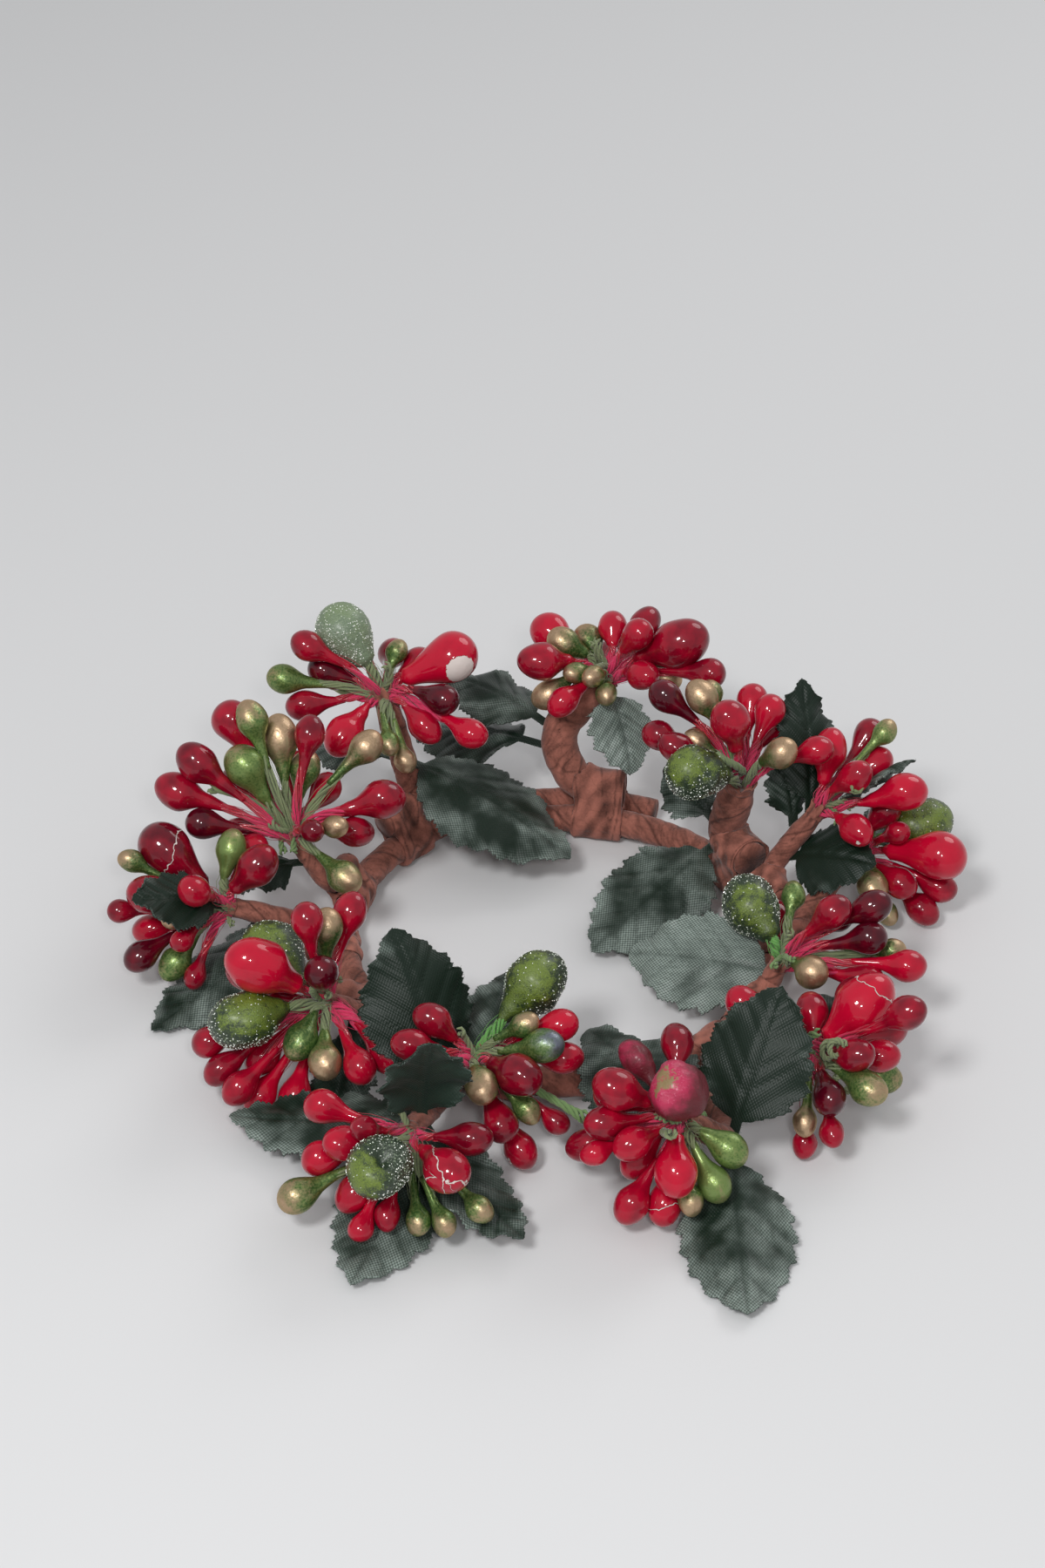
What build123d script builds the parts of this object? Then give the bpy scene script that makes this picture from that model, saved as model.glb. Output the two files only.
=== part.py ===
from build123d import *
import math
import os

import numpy as np

# A small candle ring: a wrapped wire ring, and on it thirteen sprays of lacquered
# pips and fabric leaves on wrapped wire stems. Millimetres, +Z up. The origin is the
# middle of the candle opening, on the table. The photograph is taken from -Y.

# The ring, from the inner turn of the wire to where its two ends lie side by side
RING_RADIUS = 33.5
RING_WIRE_DIA = 1.6
RING_WRAP_DIA = 4.8
RING_TURN_GAP = 0.1
RING_END_ANGLE = 100
RING_OVERLAP_ANGLE = 34

# The tape bindings that hold the ring's ends and the stems, flat where they stand
BINDING_WALL = 1.1
BINDING_LENGTH = 7.0
BINDING_FLAT_DEPTH = 0.2
JOINT_BINDING_WALL = 0.9
JOINT_BINDING_LENGTH = 8.5
RING_HEIGHT = RING_WRAP_DIA / 2 + BINDING_WALL - BINDING_FLAT_DEPTH

# The stems and the round knot of gathered threads at the head of each
STEM_DIA = 3.6
STEM_WIRE_DIA = 0.9
STEM_FOOT_LENGTH = 8.0
STEM_CLEARANCE = 0.1
STEM_BEND_SHARE = 0.45
KNOT_SHARE = 1.2

# The pips: a bead on a thread, in sizes of diameter and length
THREAD_DIA = 1.0
THREAD_MIN_LENGTH = 1.0
BEAD_NECK_DIA = 1.3
SMALL_BEAD = (3.4, 5.0)
MEDIUM_BEAD = (4.6, 7.0)
LARGE_BEAD = (5.8, 9.0)
GIANT_BEAD = (7.6, 12.5)
SUGARED_BEAD = (8.2, 11.0)
PIP_REACH = 14.0
PIP_GAP = 0.2

# The pips on the side away from the photograph: how many a spray has at most, how
# many degrees apart, the sines of the highest and the lowest rise, how far towards
# -Y they may head, how far out their beads lie, and how many share one green bead
HIDDEN_PIPS = 7
HIDDEN_PIP_TRIES = 60
HIDDEN_PIP_SPACING = 27
HIDDEN_PIP_RISE_SHARES = (0.3, -0.5)
HIDDEN_PIP_FRONT_SHARE = -0.15
HIDDEN_PIP_REACH_SHARES = (0.95, 0.75, 1.1)
HIDDEN_PIPS_PER_GREEN = 4

# The leaves: cut fabric with a toothed edge and a short stalk
LEAF_LENGTH = 28.0
LEAF_WIDTH = 17.0
LEAF_THICKNESS = 0.4
LEAF_STALK_WIDTH = 1.6
LEAF_STALK_LENGTH = 1.5
LEAF_TEETH = 11
LEAF_TOOTH_HEIGHT = 0.5
LEAF_BASE_POWER = 0.6
LEAF_TIP_POWER = 0.8
LEAF_GRID = 1.1

# How the pips are bent apart until none presses into another
SETTLE_STEPS = 260
SETTLE_RENEW = 10
SETTLE_LOOK = 1.5
SETTLE_STRETCH_SHARES = (0.9, 1.25)
SETTLE_DONE_SHARE = 1 / 3
SEAT_LOWEST_SHARE = -0.35
BINDING_BALL_SHARES = (-0.4, -0.2, 0.0, 0.2, 0.4)
NEARLY_ZERO = 1e-6

# Each stem: how far round from its head its foot lies on the ring, and its head as an
# angle about the origin with a distance out and a height in shares of the ring's
# radius. Then its thickness in shares of a usual stem, and what it bends through.
STEM_SHARES = {
    "spray_01": (-21, (18, 1.52, 0.30), 1.00, ()),
    "spray_02": (-5.5, (22.5, 1.37, 0.54), 1.00, ()),
    "spray_03": (-0.5, (32.5, 1.03, 0.72), 1.75, ()),
    "spray_04": (0, (80, 1.34, 0.81), 1.75, ((93, 1.20, 0.48),)),
    "spray_05": (8, (128, 1.50, 0.78), 1.25, ()),
    "spray_06": (-2.5, (166.5, 1.38, 0.54), 1.00, ()),
    "spray_07": (5, (181, 1.67, 0.36), 1.00, ()),
    "spray_08": (-3, (215, 1.38, 0.42), 1.00, ()),
    "spray_09": (-6, (246, 1.78, 0.35), 1.00, ()),
    "spray_10": (6, (250, 1.25, 0.42), 1.00, ()),
    "spray_11": (6.5, (286.5, 1.65, 0.42), 1.10, ((295.5, 1.69, 0.20),)),
    "spray_12": (-4, (315, 1.56, 0.36), 1.00, ()),
    "spray_13": (-7.5, (334.5, 1.12, 0.42), 1.00, ()),
}

# Each pip: its bead, its heading about +Z, its rise above level, and how far its
# bead's round end lies from the knot in shares of PIP_REACH.
S, M, L, G, F = SMALL_BEAD, MEDIUM_BEAD, LARGE_BEAD, GIANT_BEAD, SUGARED_BEAD
RED_PIP_SHARES = {
    "spray_01": ((G, 335, 10, 1.0), (S, 335, 30, 0.65), (M, 25, 35, 0.6), (M, 320, -10, 0.7),
                 (M, 325, -25, 1.05), (M, 340, -15, 1.1)),
    "spray_02": ((L, 80, 50, 0.70), (M, 55, 20, 1.15), (M, 345, 40, 0.6), (L, 355, 20, 1.0),
                 (M, 305, 0, 0.65), (M, 30, 15, 0.85)),
    "spray_03": ((M, 150, 30, 1.3), (M, 160, 20, 1.05), (L, 185, 75, 0.8), (M, 75, 25, 1.0),
                 (M, 60, 30, 0.85), (M, 50, 15, 0.85), (M, 190, 25, 0.85)),
    "spray_04": ((L, 130, 5, 0.95), (L, 195, 15, 0.95), (M, 90, 15, 0.65), (M, 50, 25, 0.8),
                 (G, 350, 30, 1.0), (M, 345, 45, 0.6), (M, 310, 20, 0.65), (M, 340, 10, 1.3),
                 (M, 220, -10, 0.85)),
    "spray_05": ((M, 170, 25, 1.0), (M, 170, 20, 0.75), (M, 190, -5, 1.0), (G, 15, 20, 0.95),
                 (M, 55, 0, 0.75), (M, 335, 5, 0.85), (M, 330, -10, 1.3), (L, 235, -20, 0.85),
                 (M, 320, -20, 0.8)),
    "spray_06": ((L, 135, 45, 1.35), (M, 75, 55, 1.15), (L, 160, 35, 1.3), (L, 170, 20, 1.4),
                 (M, 180, 10, 1.05), (L, 10, 10, 1.15), (M, 5, 0, 0.8), (S, 310, 30, 0.6)),
    "spray_07": ((G, 155, 35, 0.75), (L, 185, 10, 0.85), (S, 185, 5, 1.1), (M, 230, 45, 0.6),
                 (M, 60, 25, 0.8), (L, 20, 45, 0.7), (S, 235, -5, 0.7), (M, 210, -20, 1.1),
                 (S, 250, -45, 1.0)),
    "spray_08": ((G, 195, 40, 1.0), (M, 220, -30, 0.95), (M, 210, -25, 1.35), (M, 225, -30, 1.4),
                 (M, 235, -40, 1.35), (M, 255, -45, 1.15), (M, 300, -15, 1.0), (L, 315, -15, 1.05),
                 (M, 275, 75, 0.5), (M, 135, 80, 1.05), (M, 65, 45, 1.05), (M, 200, -15, 1.3)),
    "spray_09": ((L, 305, 10, 0.85), (M, 195, -10, 0.95), (M, 205, 15, 0.75), (S, 215, 35, 0.65),
                 (M, 225, -28, 0.85), (S, 255, -32, 0.9), (S, 240, -30, 1.05)),
    "spray_10": ((M, 170, 38, 0.65), (M, 225, 15, 0.6), (M, 10, 15, 1.0), (M, 0, 0, 1.0),
                 (L, 320, 10, 0.7), (M, 295, -30, 0.85), (M, 305, -40, 1.15), (S, 330, -30, 1.15),
                 (M, 195, 25, 0.8)),
    "spray_11": ((L, 190, 30, 0.85), (M, 200, 10, 0.85), (M, 215, 5, 0.7), (S, 205, -5, 1.0),
                 (M, 225, -40, 0.65), (L, 270, -25, 0.7), (M, 230, -40, 1.05), (M, 255, -45, 0.95)),
    "spray_12": ((G, 30, 35, 0.85), (M, 355, 35, 1.2), (M, 90, 15, 0.6), (M, 280, -15, 0.65),
                 (S, 260, -45, 1.0), (M, 165, 35, 1.0), (M, 325, 25, 0.6), (S, 280, -20, 0.95)),
    "spray_13": ((M, 10, 45, 0.8), (M, 10, 25, 1.15), (M, 0, 10, 1.0), (M, 350, 0, 1.0),
                 (M, 350, 0, 1.35)),
}
GREEN_PIP_SHARES = {
    "spray_01": ((M, 290, -10, 0.6), (S, 300, -35, 0.85)),
    "spray_02": ((S, 35, 20, 1.1),),
    "spray_03": ((S, 155, 25, 0.7), (M, 135, 45, 1.05), (M, 330, 45, 0.6), (S, 110, 25, 1.15)),
    "spray_04": ((M, 165, 25, 0.65), (M, 115, 5, 0.6), (S, 215, 15, 0.5), (S, 240, 20, 0.5),
                 (S, 265, 0, 0.45), (M, 205, -15, 0.85), (M, 345, 5, 0.7)),
    "spray_05": ((M, 180, 10, 1.2), (S, 70, 20, 0.6), (S, 280, -20, 0.85), (S, 290, -30, 1.0)),
    "spray_06": ((M, 120, 55, 1.35), (L, 140, 45, 1.05), (L, 105, 55, 1.15), (M, 75, 50, 0.8),
                 (M, 35, 35, 1.35), (S, 330, 25, 0.7), (M, 315, -10, 1.0)),
    "spray_07": ((M, 70, 50, 0.7), (S, 160, 30, 1.05), (S, 220, 10, 0.65), (M, 225, -35, 0.9)),
    "spray_08": ((M, 245, -20, 0.6), (M, 275, -15, 0.85), (M, 80, 65, 0.85)),
    "spray_09": ((M, 205, -15, 1.3), (S, 285, -32, 0.95), (S, 303, -30, 1.0), (S, 318, -24, 1.15)),
    "spray_10": ((S, 5, 35, 0.7), (M, 345, 20, 0.85), (M, 280, 5, 0.6), (S, 325, -30, 0.85)),
    "spray_11": ((M, 325, -25, 0.65), (M, 305, -40, 0.85), (S, 280, -45, 1.0)),
    "spray_12": ((S, 260, -30, 0.8), (M, 315, 5, 0.8)),
    "spray_13": ((M, 300, 15, 0.45), (S, 80, 25, 0.8), (S, 0, 5, 1.2)),
}
SUGARED_PIP_SHARES = {
    "spray_01": ((F, 20, 10, 0.85),),
    "spray_03": ((F, 200, 25, 0.7),),
    "spray_05": ((F, 145, 40, 0.85),),
    "spray_08": ((F, 130, 5, 1.0), (F, 205, 0, 1.0)),
    "spray_09": ((F, 250, 15, 0.8),),
    "spray_10": ((F, 45, 25, 1.1),),
    "spray_13": ((F, 120, 20, 0.75),),
}
PINK_PIP_SHARES = {
    "spray_11": ((M, 125, 20, 0.85), (F, 260, 65, 0.7)),
}

# Each leaf: how far down the stem its stalk starts in shares of LEAF_LENGTH, its
# heading and rise, how it is turned about its own length, how far it bends down
# along its length, and its length and width in shares of a usual leaf.
LEAF_SHARES = {
    "spray_01": ((0.15, 60, -5, 0, 20, 0.60, 0.90),),
    "spray_02": ((0.25, 105, 50, 0, 20, 0.45, 0.90), (0.15, 90, 45, -20, 15, 0.75, 0.85),
                 (0.14, 12, 27, 40, 15, 0.60, 0.75), (0.42, 334, 18, -25, 20, 0.52, 1.50)),
    "spray_03": ((0.52, 125, 12, 30, 20, 0.42, 1.30), (0.58, 225, -12, 15, 15, 0.98, 1.00)),
    "spray_04": ((0.50, 148, 7, 0, 25, 0.70, 1.10), (0.62, 150, -14, 0, 20, 0.80, 1.10),
                 (0.05, 287, -34, 0, 30, 0.50, 1.20)),
    "spray_05": ((0.45, 330, -16, 0, 30, 1.08, 1.08), (0.45, 150, -15, 0, 25, 0.60, 0.85)),
    "spray_06": ((0.22, 207, -3, 0, 25, 0.45, 0.95),),
    "spray_07": ((0.15, 205, 25, 20, 20, 0.60, 1.00), (0.40, 224, -14, 0, -12, 0.92, 0.85)),
    "spray_08": ((0.30, 260, -20, 0, -15, 0.60, 0.90),),
    "spray_09": ((0.25, 280, 70, 0, 10, 0.70, 1.05), (0.36, 250, -15, 0, -12, 1.02, 0.92),
                 (0.20, 310, -16, 0, -10, 0.78, 0.80), (0.30, 171, -10, 0, -10, 0.98, 0.80),
                 (0.62, 120, 52, 0, 15, 0.82, 1.25)),
    "spray_10": ((0.20, 75, 0, 0, 20, 0.70, 0.90),),
    "spray_11": ((0.38, 62, 48, 0, 15, 0.75, 1.30), (0.38, 272, -12, 0, -10, 0.94, 1.02),
                 (0.12, 118, -12, 10, 25, 1.05, 0.95)),
    "spray_12": ((0.25, 45, -5, 0, 20, 0.60, 0.90),),
    "spray_13": ((0.12, 156, -12, 30, 20, 0.80, 1.20),),
}
SPRAYS = tuple(STEM_SHARES)
JOINED_SPRAY = "spray_04"

wrap_radius = RING_WRAP_DIA / 2
thread_radius = THREAD_DIA / 2
turn_step = (RING_WRAP_DIA + RING_TURN_GAP) / 2


def direction(heading, rise=0.0):
    """The unit vector at a heading about +Z and a rise above level, in degrees."""
    a, b = math.radians(heading), math.radians(rise)
    return np.array([math.cos(a) * math.cos(b), math.sin(a) * math.cos(b), math.sin(b)])


def unit(v):
    return v / np.linalg.norm(v)


def ring_centre(angle):
    """The centre and radius of the ring's arc at an angle: the far half is one step wider."""
    turned = (RING_END_ANGLE - angle) % 360
    if turned <= 180:
        return np.zeros(3), RING_RADIUS
    return direction(RING_END_ANGLE) * turn_step, RING_RADIUS + turn_step


def ring_point(angle):
    centre, radius = ring_centre(angle)
    return centre + direction(angle) * radius + np.array([0, 0, RING_HEIGHT])


def ring_path():
    """Two half turns, the second one step wider, and the outer end over the inner one."""
    lift = np.array([0, 0, RING_HEIGHT])
    outer_radius = RING_RADIUS + 2 * turn_step
    last = RING_END_ANGLE - RING_OVERLAP_ANGLE
    start, half = ring_point(RING_END_ANGLE), ring_point(RING_END_ANGLE + 180)
    near, far = ring_point(RING_END_ANGLE - 90), ring_point(RING_END_ANGLE + 90)
    meet = direction(RING_END_ANGLE) * outer_radius + lift
    middle = direction((RING_END_ANGLE + last) / 2) * outer_radius + lift
    end = direction(last) * outer_radius + lift
    return Wire([
        ThreePointArc(tuple(start), tuple(near), tuple(half)),
        ThreePointArc(tuple(half), tuple(far), tuple(meet)),
        ThreePointArc(tuple(meet), tuple(middle), tuple(end)),
    ])


def sweep_round(path, outer_dia, inner_dia=0.0):
    """A round bar or tube along a path, its section square to the path's start."""
    section = Circle(outer_dia / 2)
    if inner_dia:
        section -= Circle(inner_dia / 2)
    return sweep(Plane(origin=path @ 0, z_dir=path % 0) * section, path=path)


class Stem:
    """One wrapped stem: its foot lies along the ring, then it bends up to its knot."""

    def __init__(self, name):
        lead, head, thickness_share, via = STEM_SHARES[name]
        foot_angle = head[0] + lead
        self.name = name
        self.dia = STEM_DIA * thickness_share
        self.knot_radius = KNOT_SHARE * self.dia / 2
        self.foot_angle = foot_angle
        self.head = self.place(head)
        bends = [self.place(point) for point in via]
        goal = bends[0] if bends else self.head
        on_ring = ring_point(foot_angle)
        tangent = np.cross([0, 0, 1.0], direction(foot_angle))
        lean = 1.0 if (goal - on_ring) @ tangent >= 0 else -1.0
        self.tangent = tangent * lean
        across = (goal - on_ring) - tangent * ((goal - on_ring) @ tangent)
        reach = wrap_radius + self.dia / 2 + STEM_CLEARANCE
        self.rests = [on_ring]
        self.foot = on_ring + unit(across) * reach
        if name == JOINED_SPRAY:
            outer = on_ring + direction(foot_angle) * 2 * turn_step
            middle = (on_ring + outer) / 2
            self.rests = [on_ring, outer]
            self.foot = middle + np.array([0, 0, math.sqrt(reach**2 - turn_step**2)])
        half_run = self.tangent * STEM_FOOT_LENGTH / 2
        points = [self.foot - half_run, self.foot + half_run, *bends, self.head]
        self.axis = unit(points[-1] - points[-2])
        self.neck = self.head - self.axis * self.knot_radius * math.sqrt(1 - 1 / KNOT_SHARE**2)
        points[-1] = self.neck
        self.path = FilletPolyline(*[tuple(p) for p in points], radius=bend_radii(points))

    @staticmethod
    def place(shares):
        angle, out_share, height_share = shares
        return direction(angle) * RING_RADIUS * out_share + np.array([0, 0, RING_RADIUS * height_share])

    def wire(self):
        return sweep_round(self.path, STEM_WIRE_DIA)

    def wrap(self):
        return sweep_round(self.path, self.dia, STEM_WIRE_DIA)

    def knot(self):
        """A ball of gathered threads, cut flat where it sits on the stem's end."""
        end = Plane(origin=tuple(self.neck), z_dir=tuple(self.axis))
        return split(Location(tuple(self.head)) * Sphere(self.knot_radius), bisect_by=end, keep=Keep.TOP)

    def binding(self, wall, length):
        """The tape round the ring and the stem's foot, with the flat that it stands on."""
        here = Plane(origin=tuple(self.rests[0] - self.tangent * length / 2), z_dir=tuple(self.tangent),
                     x_dir=(0, 0, 1))
        held = [(rest, wrap_radius) for rest in self.rests] + [(self.foot, self.dia / 2)]
        rounds = []
        for point, radius in held:
            at = here.to_local_coords(Vector(*point))
            rounds.append(Pos(at.X, at.Y) * Circle(radius + wall))
        lump = extrude(here * make_hull([e for r in rounds for e in r.edges()]), length,
                       dir=tuple(self.tangent))
        return split(lump, bisect_by=Plane.XY, keep=Keep.TOP)


def bend_radii(points):
    """At each corner, as large a radius as a share of the shorter run allows."""
    radii = []
    for before, at, after in zip(points, points[1:], points[2:]):
        run_in, run_out = at - before, after - at
        turn = math.acos(np.clip(unit(run_in) @ unit(run_out), -1, 1))
        shorter = min(np.linalg.norm(run_in), np.linalg.norm(run_out))
        radii.append(STEM_BEND_SHARE * shorter / math.tan(turn / 2))
    return radii


class Leaf:
    """A fabric leaf: a toothed blank on a stalk, bent down along its length, or up."""

    def __init__(self, stem, shares):
        down, heading, rise, roll, bend, length_share, width_share = shares
        self.stem = stem
        self.length = LEAF_LENGTH * length_share
        self.width = LEAF_WIDTH * length_share * width_share
        self.stalk = LEAF_STALK_LENGTH + stem.dia / 2
        self.bend = math.radians(bend)
        self.drum = (self.stalk + self.length) / self.bend
        chord = direction(heading, rise)
        side = unit(np.cross([0, 0, 1.0], chord))
        normal = np.cross(chord, side)
        roll = math.radians(roll)
        normal, side = (normal * math.cos(roll) + side * math.sin(roll),
                        side * math.cos(roll) - normal * math.sin(roll))
        half = self.bend / 2
        self.along = chord * math.cos(half) + normal * math.sin(half)
        self.normal = normal * math.cos(half) - chord * math.sin(half)
        self.side = side
        self.start = stem.head - stem.axis * LEAF_LENGTH * down

    def half_width(self, share):
        """Widest before the middle, round at the base and drawn out to a point."""
        def swell(at):
            return at**LEAF_BASE_POWER * (1 - at) ** LEAF_TIP_POWER

        return self.width / 2 * swell(share) / swell(LEAF_BASE_POWER / (LEAF_BASE_POWER + LEAF_TIP_POWER))

    def outline(self):
        reach = self.drum * math.sin(self.bend)
        blade = reach - self.stalk
        edge = [(0, LEAF_STALK_WIDTH / 2), (self.stalk, LEAF_STALK_WIDTH / 2)]
        for tooth in range(1, LEAF_TEETH):
            share = tooth / LEAF_TEETH
            x, y = self.stalk + blade * share, self.half_width(share)
            back = LEAF_TOOTH_HEIGHT / 2
            edge += [(x, y + LEAF_TOOTH_HEIGHT), (x + back, y)]
        return [*edge, (reach, 0), *((x, -y) for x, y in reversed(edge))]

    def solid(self):
        sag = abs(self.drum) * (1 - math.cos(self.bend)) + 2 * LEAF_THICKNESS
        blank = extrude(make_face(Polyline(*self.outline(), close=True)), sag, both=True)
        drum = Pos(0, 0, -self.drum) * Rot(90, 0, 0)
        tall, skin = self.width + 4 * LEAF_TOOTH_HEIGHT, LEAF_THICKNESS / 2
        shell = drum * (Cylinder(abs(self.drum) + skin, tall) - Cylinder(abs(self.drum) - skin, tall))
        plane = Plane(origin=tuple(self.start), x_dir=tuple(self.along), z_dir=tuple(self.normal))
        return plane.location * (blank & shell)

    def points(self):
        """Points all over the leaf, for what has to keep clear of it."""
        found = []
        for along in np.arange(LEAF_GRID, self.stalk + self.length, LEAF_GRID):
            share = max(0.0, (along - self.stalk) / self.length)
            half = max(self.half_width(share), LEAF_STALK_WIDTH / 2)
            angle = along / self.drum
            centre = (self.start + self.along * self.drum * math.sin(angle)
                      - self.normal * self.drum * (1 - math.cos(angle)))
            found += [centre + self.side * y for y in np.arange(-half, half, LEAF_GRID)]
            found.append(centre + self.side * half)
        return found


class Pip:
    """One bead on its thread, from a seat on a knot to the bead's round end."""

    def __init__(self, stem, bead, heading, rise, reach_share):
        self.stem = stem
        self.dia, self.bead_length = bead
        shortest = stem.knot_radius + THREAD_MIN_LENGTH + self.bead_length
        tip = max(PIP_REACH * reach_share + self.dia / 2, shortest)
        self.aim = direction(heading, rise)
        self.tip = stem.head + self.aim * tip
        self.seat = stem.head + self.aim * stem.knot_radius

    def solids(self):
        axis = unit(self.tip - self.seat)
        out = unit(self.seat - self.stem.head)
        tilt = math.sqrt(max(0.0, 1 - (axis @ out) ** 2))
        foot = self.stem.head + out * (self.stem.knot_radius + thread_radius * tilt)
        axis = unit(self.tip - foot)
        neck = self.tip - axis * self.bead_length
        thread = Solid.make_cylinder(thread_radius, float(np.linalg.norm(neck - foot)),
                                     Plane(origin=tuple(foot), z_dir=tuple(axis)))
        bead = Plane(origin=tuple(neck), z_dir=tuple(axis)).location * bead_shape(self.dia, self.bead_length)
        return [bead.solid(), thread]


BEAD_SHAPES = {}


def bead_radius(dia, length, height):
    """The radius of a bead's side at a height above its neck, up to where it is widest."""
    belly, narrow = length - dia / 2, (dia - BEAD_NECK_DIA) / 2
    side = (narrow**2 + belly**2) / (2 * narrow)
    return dia / 2 - side + math.sqrt(side**2 - (belly - height) ** 2)


def bead_shape(dia, length):
    """A drop: a round end, and sides that curve in to the neck."""
    if (dia, length) not in BEAD_SHAPES:
        belly = length - dia / 2
        neck, widest = (BEAD_NECK_DIA / 2, 0), (dia / 2, belly)
        side = ThreePointArc(neck, (bead_radius(dia, length, belly / 2), belly / 2), widest)
        slant = math.sqrt(0.5) * dia / 2
        round_end = ThreePointArc(widest, (slant, belly + slant), (0, length))
        profile = make_face([side, round_end, Line((0, length), (0, 0)), Line((0, 0), neck)])
        BEAD_SHAPES[dia, length] = revolve(Plane.XZ * profile, Axis.Z)
    return BEAD_SHAPES[dia, length]


def hidden_directions(stem, aims, leaf_points):
    """Even directions on the side away from the photograph that no pip or leaf takes yet."""
    golden = math.degrees(math.pi * (3 - math.sqrt(5)))
    apart = math.cos(math.radians(HIDDEN_PIP_SPACING))
    highest, lowest = HIDDEN_PIP_RISE_SHARES
    from_head = leaf_points - stem.head
    free = []
    for step in range(HIDDEN_PIP_TRIES):
        sine = highest + (lowest - highest) * (step + 0.5) / HIDDEN_PIP_TRIES
        aim = direction(90 + golden * step, math.degrees(math.asin(sine)))
        clear = all(aim @ other < apart for other in [*aims, *free])
        ahead = from_head @ aim
        beside = np.linalg.norm(from_head - ahead[:, None] * aim, axis=1)
        clear &= not np.any((ahead > 0) & (ahead < PIP_REACH) & (beside < M[0] / 2))
        if clear and aim[1] > HIDDEN_PIP_FRONT_SHARE and aim @ stem.axis > SEAT_LOWEST_SHARE / 2:
            free.append(aim)
    return free[:HIDDEN_PIPS]


def collect_pips(stems, leaf_points):
    """Every pip by node, the photographed ones and then the ones behind them."""
    nodes = {}
    tables = (("red_pips", RED_PIP_SHARES), ("green_pips", GREEN_PIP_SHARES),
              ("sugared", SUGARED_PIP_SHARES), ("pink", PINK_PIP_SHARES))
    for name, stem in stems.items():
        for kind, table in tables:
            node = kind + "_pips" if table in (SUGARED_PIP_SHARES, PINK_PIP_SHARES) else f"{name}_{kind}"
            for row in table.get(name, ()):
                nodes.setdefault(node, []).append(Pip(stem, *row))
        aims = [pip.aim for pips in nodes.values() for pip in pips if pip.stem is stem]
        for count, aim in enumerate(hidden_directions(stem, aims, leaf_points)):
            heading = math.degrees(math.atan2(aim[1], aim[0]))
            rise = math.degrees(math.asin(aim[2]))
            reach = HIDDEN_PIP_REACH_SHARES[count % len(HIDDEN_PIP_REACH_SHARES)]
            green = (count + 1) % HIDDEN_PIPS_PER_GREEN == 0
            node = f"{name}_green_pips" if green else f"{name}_red_pips"
            nodes[node].append(Pip(stem, M, heading, rise, reach))
    return nodes


def along_path(path, spacing):
    count = max(2, int(path.length / spacing))
    return [np.array(tuple(path @ (step / count))) for step in range(count + 1)]


def obstacles(stems, leaf_points, path):
    """Balls that fill the ring, the stems, the bindings and the leaves: centre and radius."""
    balls = [(p, wrap_radius) for p in along_path(path, wrap_radius / 2)]
    for stem in stems.values():
        balls += [(p, stem.dia / 2) for p in along_path(stem.path, stem.dia / 4)]
        balls.append((stem.head, stem.knot_radius))
        for share in BINDING_BALL_SHARES:
            shift = stem.tangent * BINDING_LENGTH * share
            balls += [(rest + shift, wrap_radius + BINDING_WALL) for rest in stem.rests]
            balls.append((stem.foot + shift, stem.dia / 2 + BINDING_WALL))
            balls.append(((stem.foot + stem.rests[0]) / 2 + shift, wrap_radius + BINDING_WALL))
    balls += [(p, LEAF_THICKNESS) for p in leaf_points]
    return np.array([b[0] for b in balls]), np.array([b[1] for b in balls])


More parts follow.
